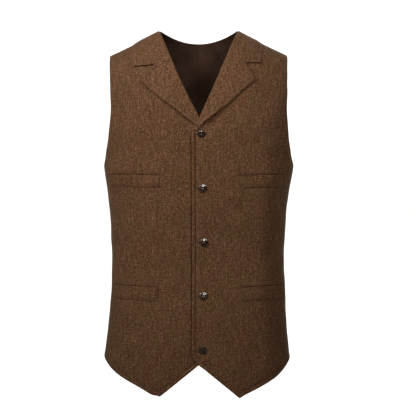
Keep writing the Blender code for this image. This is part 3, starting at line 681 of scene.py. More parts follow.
# lapels are cut on a grain of their own, and their browns are painted 10 % lighter than the fronts': painted
# light, so that they look more brightly lit
lapelTweedPaintedLighter = makeTweed("brownTweedOnLapelsPaintedLighter", math.radians(-12), 1.10)
satin = makeSatin()
horn = makeHorn()
# near-black stitch thread: partly painted shade along the stitched grooves and at the notch corners
stitchThreadWithPaintedShade = makeThread("stitchThreadWithPaintedShade", "stitches")
buttonThread = makeThread("buttonThread", "button")
buttonholeTwist = makeThread("buttonholeTwist", "buttonhole")
print("materials made")

front = {
    "neckEdge": {"levels": [-0.2020, -0.1746, -0.0893, 0.0], "across": [-0.0128, -0.0004, 0.0368, 0.0735]},
    "neckHeights": (-0.0005, -0.003, -0.009, -0.018, -0.0274, -0.055, -0.0893, -0.132, -0.160, -0.180,
                    -0.1925),
    "left": {"edge": [(-0.0126, -0.1985), (-0.0128, -0.2080)],
             "edgeLow": [(-0.0128, -0.6090), (-0.0102, -0.6155), (-0.0012, -0.6290), (0.0095, -0.6372)],
             "point": (0.0768, -0.6925), "lift": 0.0002, "neckCross": 0.0},
    # the under front reaches further over at the foot of the opening
    "right": {"edge": [(-0.0128, -0.1985), (-0.0140, -0.2080), (-0.0200, -0.2300)],
              "edgeLow": [(-0.0200, -0.6150), (-0.0011, -0.6306)],
              "point": (0.0720, -0.6897), "lift": -0.0020, "neckCross": 0.0044},
    "neckCrossLevels": (-0.090, -0.180), "neckStep": 0.0025,
    "pointRound": [(-0.0030, 0.0025), (0.0030, 0.0015)], "pointBlunt": 0.0005, "pointStep": 0.0010,
    "cornerStep": 0.0015, "underLapel": 0.0220,   # how far up the stitches run on under the lapel
    "hem": [(0.0870, -0.6863), (0.1020, -0.6785), (0.1260, -0.6660), (0.1490, -0.6526), (0.1645, -0.6395),
            (0.1730, -0.6290)],
    "armhole": [(0.1785, -0.2480), (0.1740, -0.2250), (0.1690, -0.1900), (0.1660, -0.1500),
                (0.1675, -0.1000)],
    "dart": {"left": [(0.0850, -0.3000), (0.0800, -0.3900), (0.0815, -0.4840)],
             "right": [(0.0800, -0.3000), (0.0745, -0.3900), (0.0765, -0.4860)],
             "depth": 0.00055, "half": 0.0012, "beside": 0.0011,
             "steps": (0.01, 0.003)},   # of the line it follows, and of the points laid along it
    # pocket mouth just above each welt, and the bed that the welt presses
    "mouth": {"upper": 0.0019, "lower": 0.0021, "half": 0.0007, "above": 0.0001, "bed": 0.0002,
              "rows": 0.0007, "bedRows": 0.0008},
    # groove that each lapel's edge presses: depth, half width, distance inside the edge
    "lapelBed": {"left": (0.0029, 0.0013, 0.0006), "right": (0.0036, 0.0015, 0.0001)}, "lapelBedRows": 0.0009,
    # what the over front's edge presses into the under one, with steps like the dart's
    "trough": {"depth": 0.0027, "half": 0.0012, "beside": -0.0001, "rows": 0.0011, "steps": (0.004, 0.0022)},
    # the stitches pull in hardest along the centre front and near its top
    "pull": {"least": 0.30, "most": 0.70, "across": (0.030, 0.010), "more": 0.6, "levels": (-0.340, -0.240)},
    "innerRounding": 0.0004, "liningDepth": 0.0014,   # grooves deeper than this show on the lining
}
lapel = {
    "gorge": (0.066, -0.0274), "tip": (0.1061, -0.0978), "low": (0.0070, -0.1817), "foot": (0.0032, -0.0014),
    "left": {"notch": (0.0865, -0.0664), "collar": [(0.1160, -0.0660), (0.1205, -0.0400)],
             "bow": [(0.2, 0.0006), (0.5, 0.0023), (0.85, 0.0009)]},
    "right": {"notch": (0.0806, -0.0710), "collar": [(0.1215, -0.0736), (0.1240, -0.0400)],
              "bow": [(0.2, 0.0034), (0.5, 0.0023), (0.85, 0.0006)]},
    "collarShoulder": 0.1240, "grid": 0.0030, "footStep": 0.0012,
    # levels, and how far the free edge springs off the front there
    "spring": {"levels": [-0.190, -0.174, -0.155, -0.125, -0.087, -0.060, -0.040, -0.024, -0.006, 0.058],
               "left": [0.0004, 0.0050, 0.0024, 0.0011, 0.0008, 0.0008, 0.0012, 0.0008, 0.0001, 0.0000],
               "right": [0.0003, 0.0034, 0.0038, 0.0034, 0.0028, 0.0021, 0.0019, 0.0010, 0.0001, 0.0000]},
    # the lapel's body bellies off the front, but neither at its foot nor near the shoulder
    "belly": 0.0009, "bellyEnds": ((-0.190, -0.155), (-0.006, -0.060)),
    # the collar is pressed thin at its outer edge
    "pressed": 0.0017, "pressedWidth": 0.014, "pressedFront": 0.010,
    "stitchInset": 0.92, "grooveDepth": 0.22,   # shares of what the front has
    "seamInset": 0.0006,   # a sewn edge is rounded as if it began this far in
    "rollSteps": 9, "turnUnder": 0.0040, "turnUnderLeast": 0.0006, "turnLean": 0.12,
    # shares of the turned strip, and how much thinner it is there
    "underSteps": ((0.35, 0.0), (0.75, 0.0001), (1.0, 0.0006)),
    "rollTaper": (0.026, 0.060), "lastAngle": math.radians(95), "edgeShare": 0.9,
}
rollRadius = cloth["frontWall"] / 2 + cloth["plyGap"]
rollReach = rollRadius + cloth["trimWall"]
# tack threads at each notch, in the near-black stitch thread: partly painted shade where the collar and lapel
# meet
notchTackWithPaintedShade = {"reach": 0.0014, "places": (-0.0006, 0.0, 0.0006, 0.0012, 0.0018), "rise": 0.0003, "thread": 0.0007}


def neckLine(side):   # neck edge of a front from the shoulder seam down, set in under the roll
    heights = np.array(front["neckHeights"])
    across = smoothRead(front["neckEdge"]["levels"], front["neckEdge"]["across"], heights)
    across = across - front[side]["neckCross"] * fade(*front["neckCrossLevels"], heights)
    seen = np.concatenate([onShoulder(figure["neckHalf"]), fromView(np.stack([across, heights], axis=1))])
    line = curveThrough(seen, front["neckStep"])
    way = unit(headings(line))
    moved = line + rollReach * np.stack([-way[:, 1], way[:, 0]], axis=1)
    moved[0, 1] = seen[0, 1]
    return moved


def frontLines(side):   # every line of a front in the flat cut, by name
    step, shape, shaped = cloth["edgeStep"], front[side], lapel[side]
    lifted = lambda spot: (spot[0], spot[1] + shape["lift"])
    neck = neckLine(side)
    split = int(np.argmin(np.abs(neck[:, 1] - fromView([lifted(lapel["gorge"])])[0, 1])))
    neckUpper, neckLower = evenSteps(neck[:split + 1], step), evenSteps(neck[split:], step)
    end = neckLower[-1]
    point = np.array(shape["point"])
    roundIn, roundOut = [point + np.array(spot) for spot in front["pointRound"]]
    opening = straightRun(step, [end], fromView(shape["edge"]))
    low = fromView(shape["edgeLow"])
    straight = straightRun(step, opening[-1:], low[:1])
    turn = curveThrough(low, front["cornerStep"]) if len(low) > 2 else evenSteps(low, step)
    cutaway = seenStraight(shape["edgeLow"][-1], roundIn, step)
    blunt = point + np.array([0, front["pointBlunt"]])
    turned = curveThrough(fromView([roundIn, blunt, roundOut]), front["pointStep"])
    sideLow, sideHigh = np.array([[girth, figure["sideHem"]]]), np.array([[girth, figure["underarm"]]])
    hem = curvedRun(step, fromView([roundOut] + front["hem"]), sideLow)
    shoulderEnd, collarEnd = onShoulder(figure["shoulderHalf"]), onShoulder(lapel["collarShoulder"])
    armhole = curvedRun(step, sideHigh, fromView(front["armhole"]), shoulderEnd)
    shoulderIn = straightRun(step, collarEnd, neck[:1])
    outline = joined(neckUpper, neckLower, opening, straight, turn, cutaway, turned, hem,
                     straightRun(step, sideLow, sideHigh), armhole, straightRun(step, shoulderEnd, collarEnd),
                     shoulderIn)

    notch, corner = shaped["notch"], shaped["collar"][0]
    gorge = straightRun(step, neckLower[:1], fromView([notch]))
    collarFront = seenStraight(notch, corner, step)
    collarOuter = curvedRun(step, fromView(shaped["collar"]), collarEnd)
    tip, low = np.array(lifted(lapel["tip"])), np.array(lapel["low"])
    aside = unit(np.array([tip[1] - low[1], low[0] - tip[0]]))
    bowed = [tip + (low - tip) * part + aside * reach for part, reach in shaped["bow"]]
    lapelOuter = curveThrough(fromView([tip] + bowed + [low]), step)
    foot = evenSteps(np.array([lapelOuter[-1], end + np.array(lapel["foot"]), end]), lapel["footStep"])
    lapelRim = [foot[::-1], lapelOuter[::-1], seenStraight(notch, tip, step)[::-1]]
    collarFree, lapelFree = joined(collarFront, collarOuter), joined(*lapelRim)
    topStart = straight[:1] + np.array([[0.0, front["underLapel"]]])
    return {
        "outline": outline, "free": [collarFree, lapelFree], "neck": neck,
        "stitched": joined(straightRun(step, topStart, straight[:1]), straight, turn, cutaway, turned, hem),
        "bed": inset(lapelOuter, front["lapelBed"][side][2]),
        "collar": {"outline": joined(neckUpper, gorge, collarFront, collarOuter, shoulderIn),
                   "edge": neckUpper, "free": collarFree, "seam": gorge, "front": collarFront,
                   "outer": collarOuter},
        "lapel": {"outline": joined(gorge[::-1], neckLower, *lapelRim), "edge": neckLower,
                  "free": lapelFree, "seam": gorge},
    }


welts = {
    "left": {"upper": {"inner": 0.0745, "outer": 0.1650, "top": (-0.2782, -0.2754), "height": 0.0232},
             "lower": {"inner": 0.0785, "outer": 0.1620, "top": (-0.4864, -0.4836), "height": 0.0262}},
    "right": {"upper": {"inner": 0.0720, "outer": 0.1650, "top": (-0.2775, -0.2755), "height": 0.0227},
              "lower": {"inner": 0.0752, "outer": 0.1620, "top": (-0.4864, -0.4836), "height": 0.0262}},
    # how much thinner, and how far in: at the seam it is sewn on by, and where its ends are pressed flat
    "foot": (0.0013, 0.007), "ends": (0.0004, 0.005), "least": 0.0003,
    "seated": 0.8, "seatedWidth": 0.006,   # near the seam it lies down by this share of the gap
    "rows": 0.0030, "stitchInset": 0.0016,
}


def weltLines(shape):
    innerTop, outerTop = shape["top"]
    corners = [(shape["inner"], innerTop), (shape["inner"], innerTop - shape["height"]),
               (shape["outer"], outerTop - shape["height"]), (shape["outer"], outerTop)]
    inner, foot, outer, top = [seenStraight(corners[k], corners[(k + 1) % 4], cloth["edgeStep"])
                               for k in range(4)]
    return {"outline": joined(inner, foot, outer, top), "bed": joined(inner, foot, outer), "top": top,
            "foot": foot, "inner": inner, "outer": outer}


weltCuts = {side: {name: weltLines(welts[side][name]) for name in ("upper", "lower")} for side in sides}


def underTrough():   # in the under front's cut, just outside the over front's edge
    seen = fromView([(-x, z) for x, z in front["left"]["edge"] + front["left"]["edgeLow"]])
    return evenSteps(seen + np.array([front["trough"]["beside"], 0]), front["trough"]["steps"][0])


def stitchedRelief(stitched, insetShare, depth):
    # the groove that the stitches pull in, and the full strip between it and the edge
    middle = cloth["stitchInset"] * insetShare
    strip = cloth["stripPuff"] * groove(stitched - cloth["stitchInset"] / 2, cloth["puffHalf"])
    return -depth * groove(stitched - middle, cloth["grooveHalf"]), strip


def frontRelief(side, lines, uv):   # seams and stitched edges of a front's outer face, positive is out
    relief = -edgeDrop(distanceTo(uv, closed(lines["outline"])), cloth["edgeRounding"])
    shape = front["pull"]
    pull = shape["least"] + shape["most"] * fade(*shape["across"], np.abs(uv[:, 0]))
    pull = pull * (1 + shape["more"] * fade(*shape["levels"], uv[:, 1]))
    for part in stitchedRelief(distanceTo(uv, lines["stitched"]), 1, pull * cloth["grooveDepth"]):
        relief += part
    if side == "right":   # the over front presses a narrow trough into the under one
        trough = front["trough"]
        relief -= trough["depth"] * groove(distanceTo(uv, underTrough()), trough["half"])
    depth, half = front["lapelBed"][side][:2]
    relief -= depth * groove(distanceTo(uv, lines["bed"]), half)
    dart, mouth = front["dart"], front["mouth"]
    line = curveThrough(fromView(dart[side]), dart["steps"][0])
    relief -= dart["depth"] * groove(distanceTo(uv, line), dart["half"])
    for name, lineSet in weltCuts[side].items():
        above = lineSet["top"] + np.array([0, mouth["above"]])
        relief -= mouth[name] * groove(distanceTo(uv, above), mouth["half"])
        relief -= mouth["bed"] * groove(distanceTo(uv, lineSet["bed"]), mouth["half"])
    return relief


def makeFront(side):
    lines, mouth = frontLines(side), front["mouth"]
    rows = grooveRows(lines["stitched"], cloth["stitchInset"])
    rows += [inset(lines["bed"], k * front["lapelBedRows"]) for k in range(-3, 4)]
    shape = front["dart"]
    dart, beside = evenSteps(fromView(shape[side]), shape["steps"][1]), shape["beside"]
    rows += [inset(dart[::-1], beside), dart, inset(dart, beside)]
    for lineSet in weltCuts[side].values():
        rows += [lineSet["top"] + np.array([0, mouth["above"] + k * mouth["rows"]]) for k in range(-2, 3)]
        rows += [lineSet["bed"]]
        rows += [inset(lineSet["bed"][::way], k * mouth["bedRows"]) for way in (1, -1) for k in (1, 2)]
    if side == "right":
        trough = evenSteps(underTrough(), front["trough"]["steps"][1])
        rows += [trough + np.array([k * front["trough"]["rows"], 0]) for k in range(-2, 3)]
    uv, faces = fillCut(lines["outline"], rows, cloth["gridStep"])
    edge = distanceTo(uv, closed(lines["outline"]))
    relief = frontRelief(side, lines, uv)
    outer = placeOn(side, uv, relief)
    shown = np.minimum(relief + front["liningDepth"], 0)
    inner = placeOn(side, uv, -cloth["frontWall"] + edgeDrop(edge, front["innerRounding"]) + shown)
    piece = thickCloth(side + "Front", outer, inner, faces, uv, [tweed, satin], side == "right")
    face = lambda at, up: placeOn(side, at, frontRelief(side, lines, at) + up)
    sewn = stitchRow(side + "FrontStitches", side, face, inset(lines["stitched"], cloth["stitchInset"]),
                     stitches)
    return piece, sewn, lines, face


def lapelHeight(side, lines, uv):   # how high the under face of a lapel or collar stands off the front
    free = np.min([distanceTo(uv, line) for line in lines["free"]], axis=0)
    roll = distanceTo(uv, lines["neck"])
    away = roll / np.maximum(roll + free, 1e-6)
    spring = smoothRead(lapel["spring"]["levels"], lapel["spring"][side], uv[:, 1])
    foot, shoulder = [fade(*ends, uv[:, 1]) for ends in lapel["bellyEnds"]]
    return cloth["plyGap"] + lapel["belly"] * np.sin(math.pi * away) * (foot * shoulder) + spring * away ** 2


def turnedThickness(part, uv):
    # a collar is pressed thin towards its outer edge, but not along its front edge
    thick = np.full(len(uv), cloth["trimWall"])
    if "outer" in part:
        near = fade(lapel["pressedWidth"], 0.0, distanceTo(uv, part["outer"]))
        thick -= lapel["pressed"] * near * fade(0.0, lapel["pressedFront"], distanceTo(uv, part["front"]))
    return thick


def lapelRelief(side, part, uv):
    stitched = distanceTo(uv, part["free"])
    edge = np.minimum(stitched, distanceTo(uv, part["seam"]) + lapel["seamInset"])
    thick = turnedThickness(part, uv)
    relief = -edgeDrop(edge, cloth["edgeRounding"])
    for row in stitchedRelief(stitched, lapel["stitchInset"], cloth["grooveDepth"] * lapel["grooveDepth"]):
        relief += row
    return relief * thick / cloth["trimWall"] + thick - cloth["trimWall"]


def makeTurned(side, name, part, lines):
    # a lapel or collar: laid on the front, rolled round its neck edge and turned under
    middleOfGroove = cloth["stitchInset"] * lapel["stitchInset"]
    uv, faces = fillCut(part["outline"], grooveRows(part["free"], middleOfGroove), lapel["grid"])
    high = lapelHeight(side, lines, uv)
    thinner = turnedThickness(part, uv) / cloth["trimWall"]
    lowDrop = edgeDrop(distanceTo(uv, part["free"]), cloth["innerRounding"]) * thinner
    innerRows = [placeOn(side, uv, high + lowDrop)]
    outerRows = [placeOn(side, uv, high + cloth["trimWall"] + lapelRelief(side, part, uv))]
    mapRows = [uv]
    edge = part["edge"]
    count, lengths = len(edge), lengthsOf(edge)
    strips = [np.array([int(np.argmin(np.linalg.norm(uv - spot, axis=1))) for spot in edge])]
    normal = outwardAt(side, edge)
    middle = placeOn(side, edge, -cloth["frontWall"] / 2)
    away = unit(np.cross(normal, headings(placeOn(side, edge, 0.0))))
    away[away[:, 0] * sides[side] > 0] *= -1
    isLapel = name == "lapel"
    full = fade(*lapel["rollTaper"], lengths[-1] - lengths) if isLapel else np.ones(count)
    lastAngle = lapel["lastAngle"] + (math.pi - lapel["lastAngle"]) * full
    seamEnd = lengths if isLapel else lengths[-1] - lengths
    thin = edgeDrop(seamEnd + lapel["seamInset"], cloth["edgeRounding"])
    reachOf = lambda a: normal * np.cos(a)[:, None] + away * np.sin(a)[:, None]

    def addStrip(inner, outer, across):
        strips.append(sum(len(row) for row in innerRows) + np.arange(count))
        innerRows.append(inner)
        outerRows.append(outer)
        mapRows.append(edge - np.array([1, 0]) * across[:, None])

    for step in range(1, lapel["rollSteps"] + 1):
        angle = lastAngle * step / lapel["rollSteps"]
        way = reachOf(angle)
        addStrip(middle + way * rollRadius, middle + way * (rollReach - thin)[:, None], angle * rollReach)
    under = lapel["turnUnderLeast"] + (lapel["turnUnder"] - lapel["turnUnderLeast"]) * full
    sinking = np.sin(lastAngle) + lapel["turnLean"] * full
    heading = away * np.cos(lastAngle)[:, None] - normal * sinking[:, None]
    way = reachOf(lastAngle)
    for share, drop in lapel["underSteps"]:
        moved = heading * (under * share)[:, None]
        addStrip(middle + way * (rollRadius + drop * 0.5) + moved, middle + way * (rollReach - drop) + moved,
                 lastAngle * rollReach + under * share)
    wrapped = faces.tolist()
    for first, second in zip(strips, strips[1:]):
        for k in range(count - 1):
            wrapped.append([first[k], second[k + 1], first[k + 1]])
            wrapped.append([first[k], second[k], second[k + 1]])
    label = side + name.capitalize()
    piece = thickCloth(label, np.concatenate(outerRows), np.concatenate(innerRows), np.array(wrapped, int),
                       np.concatenate(mapRows), [lapelTweedPaintedLighter], side == "right")
    face = lambda at, up: placeOn(
        side, at, lapelHeight(side, lines, at) + cloth["trimWall"] + lapelRelief(side, part, at) + up)
    sewn = [stitchRow(label + "Stitches", side, face, inset(part["free"], middleOfGroove), stitches)]
    if not isLapel:   # a few dark threads over the inner end of the notch: a tack, and painted shade for the deep corner there
        spot, ahead = part["front"][0], unit(part["front"][-1] - part["front"][0])
        across = np.array([-ahead[1], ahead[0]]) * notchTackWithPaintedShade["reach"]
        middles = [spot + ahead * place for place in notchTackWithPaintedShade["places"]]
        ends = np.array([[at - across, at + across] for at in middles])
        sewn.append(crossThreads(side + "NotchTackWithPaintedShade", side, face, ends, notchTackWithPaintedShade, stitchThreadWithPaintedShade))
    return piece, sewn


def makeWelt(side, name, face):
    lineSet = weltCuts[side][name]
    rows = [inset(lineSet[k], welts["rows"]) for k in ("top", "inner", "outer")]
    uv, faces = fillCut(lineSet["outline"], rows, lapel["grid"])

    def thinned(at, line, row):
        return row[0] * fade(row[1], 0.0, distanceTo(at, lineSet[line]))

    def thickness(at):
        thin = thinned(at, "foot", welts["foot"])
        for end in ("inner", "outer"):
            thin += thinned(at, end, welts["ends"])
        thin += edgeDrop(distanceTo(at, closed(lineSet["outline"])), cloth["edgeRounding"])
        return np.maximum(cloth["trimWall"] - thin, welts["least"])

    lie = lambda at: cloth["plyGap"] * (1 - thinned(at, "foot", (welts["seated"], welts["seatedWidth"])))
    under = placeOn(side, uv, lie(uv))
    over = placeOn(side, uv, lie(uv) + thickness(uv))
    label = side + name.capitalize() + "Welt"
    piece = thickCloth(label, over, under, faces, uv, [tweed], side == "right")
    weltFace = lambda at, up: placeOn(side, at, lie(at) + thickness(at) + up)
    ends = [stitchRow(f"{label}{k.capitalize()}Stitches", side, weltFace,
                      inset(lineSet[k], welts["stitchInset"])[1:-1], weltStitches)
            for k in ("inner", "outer")]
    return piece, ends


backPanel = {
    "armhole": [(0.1800, -0.2480), (0.1760, -0.2250), (0.1720, -0.1900), (0.1695, -0.1500),
                (0.1695, -0.1000)],
    "dart": {"line": [(1.57, -0.300), (1.60, -0.400), (1.585, -0.520)], "depth": 0.0005, "half": 0.0012,
             "step": 0.003, "beside": 0.0011},
    "neckSteps": 60, "hemDip": 0.001,
    # seam allowances pressed to the back
    "ridge": {"left": 0.0016, "right": 0.0004}, "ridgeWidth": (0.008, 0.0015),
}


def makeBack(side):
    step, panel, dart = cloth["edgeStep"], backPanel, backPanel["dart"]
    centre, sideHem, backHem = 2 * girth, figure["sideHem"], figure["backHem"]
    neckLow = fromView([(0.0, figure["backNeck"])], "back")[0, 1]
    neckEnd, shoulderEnd = [np.array([centre - onShoulder(figure[k])[0, 0], topLevel])
                            for k in ("neckHalf", "shoulderHalf")]
    angle = np.linspace(0, math.pi / 2, panel["neckSteps"])
    neck = evenSteps(np.stack([centre - (centre - neckEnd[0]) * np.cos(angle),
                               neckEnd[1] - (neckEnd[1] - neckLow) * np.sin(angle)], axis=1), step)
    sideLow, sideHigh = (girth, sideHem), (girth, figure["underarm"])
    midHem = (1.5 * girth, (backHem + sideHem) / 2 - panel["hemDip"])
    armhole = curvedRun(step, [sideHigh], fromView(panel["armhole"], "back"), [shoulderEnd])
    shoulder = evenSteps([shoulderEnd, neckEnd], step)
    outline = joined(neck, evenSteps([(centre, neckLow), (centre, backHem)], step),
                     curveThrough([(centre, backHem), midHem, sideLow], step),
                     evenSteps([sideLow, sideHigh], step), armhole, shoulder)[::-1]
    line = curveThrough([(share * girth, level) for share, level in dart["line"]], dart["step"])
    uv, faces = fillCut(outline, [line, inset(line, dart["beside"]), inset(line[::-1], dart["beside"])],
                        cloth["backGrid"])
    edge = distanceTo(uv, closed(outline))
    sewn = dart["depth"] * groove(distanceTo(uv, line), dart["half"])
    ridge = panel["ridge"][side] * fade(*panel["ridgeWidth"], distanceTo(uv, shoulder))
    outer = placeOn(side, uv, ridge - edgeDrop(edge, cloth["edgeRounding"]) - sewn)
    inner = placeOn(side, uv, -cloth["backWall"] + edgeDrop(edge, cloth["innerRounding"]))
    return thickCloth(side + "Back", outer, inner, faces, uv, [satin], side == "right"), outline


button = {
    "spots": [(0.0059, -0.2007), (0.0083, -0.3010), (0.0104, -0.4014), (0.0095, -0.5017), (0.0080, -0.6020)],
    "turns": [0.3, 0.9, 0.1, 0.6, 1.2],
    "leans": [(11, 2), (-4, 0), (-8.5, 0), (-3.5, 0), (9, -2)],   # degrees down, and to the left
    "holeRadius": 0.00055, "holeApart": 0.0019, "holeRim": 0.0003, "holeSink": 0.0002, "holeCorners": 16,
    # rings of points from the rim in: radii with the same count, then radius and count
    "rimRings": [0.0075, 0.00745, 0.0073, 0.0072, 0.0071, 0.0069, 0.0063, 0.0060, 0.0058, 0.0056, 0.0052,
                 0.0050, 0.0046],
    "rimCount": 56,
    "rings": [(0.0042, 48), (0.0038, 44), (0.0034, 40), (0.0030, 36), (0.0026, 32), (0.0004, 6)],
    # radius and height of the face and of the underside
    "face": [(0.0, 0.00340), (0.0010, 0.00338), (0.0020, 0.00332), (0.0030, 0.00322), (0.0040, 0.00308),
             (0.0050, 0.00290), (0.0055, 0.00277), (0.0058, 0.00268), (0.0061, 0.00266), (0.0065, 0.00262),
             (0.0069, 0.00250), (0.0071, 0.00238), (0.0073, 0.00215), (0.0075, 0.00190)],
    "under": [(0.0, 0.0009), (0.0050, 0.0009), (0.0066, 0.0011), (0.0073, 0.0013), (0.0075, 0.0015)],
    # strands: over the bar between two holes, and round the shank
    "thread": 0.00034, "strandApart": 0.8, "strandShift": 0.0001, "strandLow": 0.0004, "strandDip": 0.0028,
    "strandHigh": 0.0034, "strandArch": 0.00015, "strandShoulder": 0.86, "strandUp": (0.3, 1.0, 0.2),
    "shank": {"strands": 7, "radius": 0.0010, "foot": -0.0003, "height": 0.0013},
}


def ring(radius, count, middle=(0, 0)):
    angles = [2 * math.pi * k / count for k in range(count)]
    return [(middle[0] + radius * math.cos(a), middle[1] + radius * math.sin(a)) for a in angles]


def makeButton(number, spot):
    b, half = button, button["holeApart"] / 2
    holes = [(half * across, half * up) for across in (-1, 1) for up in (-1, 1)]
    corners, reach = b["holeCorners"], b["holeRadius"]
    circles = [(radius, b["rimCount"]) for radius in b["rimRings"]] + b["rings"]
    points = [p for radius, count in circles for p in ring(radius, count)]
    loops = [(0, b["rimCount"])] + [(len(points) + corners * k, corners) for k in range(len(holes))]
    for radius in (reach, reach + b["holeRim"]):
        points += [p for hole in holes for p in ring(radius, corners, hole)]
    flat, faces = triangulate(points + [(0.0, 0.0)], loops, 1e-8)
    nearHole = lambda spots: np.min([np.linalg.norm(spots - hole, axis=1) for hole in holes], axis=0)
    faces = faces[nearHole(flat[faces].mean(1)) >= reach * almost]
    radius = np.linalg.norm(flat, axis=1)
    top = smoothRead(*zip(*b["face"]), radius)
    top = top - b["holeSink"] * np.clip(1 - (nearHole(flat) - reach) / b["holeRim"], 0, 1)
    low = np.interp(radius, *zip(*b["under"]))
    at = fromView([spot])
    facing = Vector(outwardAt("left", at)[0])
    base = Vector(placeOn("left", at, np.array([cloth["plyGap"]]))[0])
    (down, aside), spin = b["leans"][number - 1], b["turns"][number - 1]
    lean = Matrix.Rotation(math.radians(down), 3, "X") @ Matrix.Rotation(math.radians(aside), 3, "Y")
    turn = facing.to_track_quat("Z", "Y").to_matrix() @ lean @ Matrix.Rotation(spin, 3, "Z")
    toWorld = lambda p: np.asarray(p, float) @ np.array(turn).T + np.array(base)
    piece = thickCloth(f"button{number}", toWorld(np.column_stack([flat, top])),
                       toWorld(np.column_stack([flat, low])), faces, flat, [horn])
    paths = []
    for row in (-1, 1):
        for strand in (-1, 0, 1):
            y, x = half * row + strand * b["thread"] * b["strandApart"], half + b["strandShift"] * strand
            rise = [(x, b["strandLow"]), (x, b["strandDip"]), (x * b["strandShoulder"], b["strandHigh"])]
            top = (0, y, b["strandHigh"] + b["strandArch"])
            paths.append([(-far, y, z) for far, z in rise] + [top] + [(far, y, z) for far, z in rise[::-1]])
    shank = b["shank"]
    steps = len(paths[0])
    for x, y in ring(shank["radius"], shank["strands"]):
        paths.append([(x, y, shank["foot"] + shank["height"] * t / (steps - 1)) for t in range(steps)])
    paths = np.array(paths)
    world = toWorld(paths.reshape(-1, 3)).reshape(paths.shape)
    ups = np.broadcast_to(np.array(turn @ Vector(b["strandUp"])), world.shape)
    return piece, tubes(f"buttonThread{number}", world, ups, b["thread"], buttonThread)


buttonhole = {"start": -0.0084, "past": 0.0016, "slit": 0.0004, "lip": 0.0017, "pitch": 0.00075,
              "thread": 0.00055, "rise": 0.00022, "fan": 9, "bar": 7, "barHalf": 0.9, "barLength": 0.0012}


def makeButtonhole(number, spot, face):
    # worked buttonhole: threads that cross the lips of the slit, fanned out at the end near the edge
    h = buttonhole
    start, end = fromView([(h["start"], spot[1]), (spot[0] + h["past"], spot[1])])
    ends = []
    for place in np.arange(start[0] + h["lip"], end[0], h["pitch"]):
        ends += [((place, start[1] + way * h["slit"]), (place, start[1] + way * h["lip"])) for way in (1, -1)]
    middle = np.array([start[0] + h["lip"], start[1]])
    for angle in np.linspace(math.pi / 2, 3 * math.pi / 2, h["fan"])[1:-1]:
        way = np.array([math.cos(angle), math.sin(angle)])
        ends.append((middle + way * h["slit"], middle + way * h["lip"]))
    for k in np.linspace(-1, 1, h["bar"]):   # bar across the inner end
        up = start[1] + k * h["lip"] * h["barHalf"]
        ends.append(((end[0], up), (end[0] + h["barLength"], up)))
    ends = np.array([np.array(pair) for pair in ends])
    return crossThreads(f"buttonhole{number}", "left", face, ends, h, buttonholeTwist)


def flatSize(outline, extra=0.0):   # width, length and area of a cut, with the strip that is turned under
    size = outline.max(0) - outline.min(0)
    x, y = outline[:, 0], outline[:, 1]
    area = abs(np.dot(x, np.roll(y, 1)) - np.dot(y, np.roll(x, 1))) / 2
    return (float(size[0] + extra), float(size[1])), float(area)


def dress(piece, nodes, others=()):
    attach(piece, "root")
    if nodes:
        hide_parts(*nodes)
    for other in others:
        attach(other, "root")


for side in sides:
    piece, sewn, lines, face = makeFront(side)
    dress(piece, ["front_" + side], [sewn])
    flat, area = flatSize(lines["outline"])
    trimmings = [sewn]
    if side == "left":
        holes = [makeButtonhole(k + 1, spot, face) for k, spot in enumerate(button["spots"])]
        for hole in holes:
            dress(hole, [])
        trimmings += holes
    for name in ("collar", "lapel"):
        part = lines[name]
        turned, sewn = makeTurned(side, name, part, lines)
        dress(turned, [f"{name}_{side}"], sewn)
        strip = math.pi * rollReach + lapel["turnUnder"]
        flat, area = flatSize(part["outline"], strip)
        area += strip * lengthsOf(part["edge"])[-1] * lapel["edgeShare"]
    for name in ("upper", "lower"):
        welt, ends = makeWelt(side, name, face)
        dress(welt, [f"welt_{name}_{side}"], ends)
        flat, area = flatSize(weltCuts[side][name]["outline"])
    backPiece, outline = makeBack(side)
    dress(backPiece, ["back_" + side])
    flat, area = flatSize(outline)
    print(side, "half made")

for number, spot in enumerate(button["spots"], start=1):
    piece, thread = makeButton(number, spot)
    dress(piece, [f"button_{number}"], [thread])
print("buttons made")

stage = {"floor": -1.25, "reach": 6.0, "wallAt": 5.2, "bend": 0.9, "bendSteps": 12, "wallHigh": 4.5,
         "colours": ((0.0, "#F4F4F2"), (1.0, "#F8F8F6")), "grain": 3.0,
         "settings": {"Roughness": 0.95, "Specular IOR Level": 0.1}}


def makeStage():
    # pale paper sweep: dull and even, so it only gives back soft light
    material, tree, place = newMaterial("palePaper", "object")
    colour = dyed(tree, drifts(tree, place, stage["grain"]), linearStops(stage["colours"]))
    shadeWith(tree, stage["settings"], {"Base Color": colour})
    floor, bend, steps = stage["floor"], stage["bend"], stage["bendSteps"]
    bendStart = stage["wallAt"] - bend
    profile = [(-stage["reach"], floor), (bendStart, floor)]
    for k in range(1, steps + 1):
        angle = math.pi / 2 * k / steps
        profile.append((bendStart + bend * math.sin(angle), floor + bend * (1 - math.cos(angle))))
    profile.append((stage["wallAt"], stage["wallHigh"]))
    points = [(x, y, z) for x in (-stage["reach"], stage["reach"]) for y, z in profile]
    count = len(profile)
    polygons = [(k, k + count, k + 1 + count, k + 1) for k in range(count - 1)]
    addPiece("paperSweep", points, polygons, [material])


makeStage()

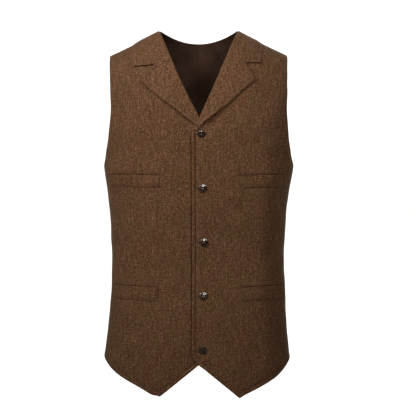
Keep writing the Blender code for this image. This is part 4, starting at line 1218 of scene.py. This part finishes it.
# Columns: place, aim, size, spread in degrees, power, colour
lights = {
    "key": ((-1.6, -1.7, 1.1), (-0.06, 0.0, -0.02), 0.9, 44, 6.6, "#F9FCFF"),
    "front": ((0.12, -3.2, 0.75), (0.02, 0.0, -0.25), 0.55, 60, 2.4, "#FFF6E8"),
    "fill": ((1.2, -2.2, 1.1), (0.12, 0.0, -0.04), 0.8, 34, 1.75, "#F7FBFF"),
    "low": ((-0.9, -3.2, -0.1), (-0.05, 0.0, -0.42), 1.6, 60, 0.3, "#FFB870"),
    "rim": ((2.0, 1.2, -0.3), (0.17, 0.0, -0.42), 1.0, 60, 0.4, "#FFFFFF"),
    "wall": ((0.0, 3.5, 2.6), (0.0, 5.2, 0.0), 2.4, 140, 120.0, "#FFFFFF"),
}
room = {"Color": toLinear("#FFFFFF"), "Strength": 0.07}


def addToScene(name, data, at):
    thing = bpy.data.objects.new(name, data)
    bpy.context.scene.collection.objects.link(thing)
    thing.location = at
    return thing


def makeLights():
    for name, (at, aim, size, spread, power, colour) in lights.items():
        data = bpy.data.lights.new(name + "Light", "AREA")
        data.size, data.energy, data.color = size, power, toLinear(colour)[:3]
        data.spread = math.radians(spread)
        lamp = addToScene(name + "Light", data, at)
        lamp.rotation_euler = (Vector(aim) - Vector(at)).to_track_quat("-Z", "Y").to_euler()
    world = bpy.data.worlds.new("softRoom")
    world.use_nodes = True
    world.node_tree.nodes.clear()
    glow = addNode(world.node_tree, "Background", room)
    addNode(world.node_tree, "OutputWorld", {}, {"Surface": glow.outputs[0]})
    bpy.context.scene.world = world


makeLights()

camera = {"at": (0.0179, -3.5, -0.338), "lens": 158.0, "sensor": 36.0, "clip": (0.05, 50.0)}


def makeCamera():
    data = bpy.data.cameras.new("camera")
    data.lens, data.sensor_width = camera["lens"], camera["sensor"]
    data.clip_start, data.clip_end = camera["clip"]
    eye = addToScene("camera", data, camera["at"])
    eye.rotation_euler = (math.pi / 2, 0, 0)
    bpy.context.scene.camera = eye


makeCamera()
bpy.context.scene.view_settings.view_transform = "Standard"
print("stage, lights and camera made")
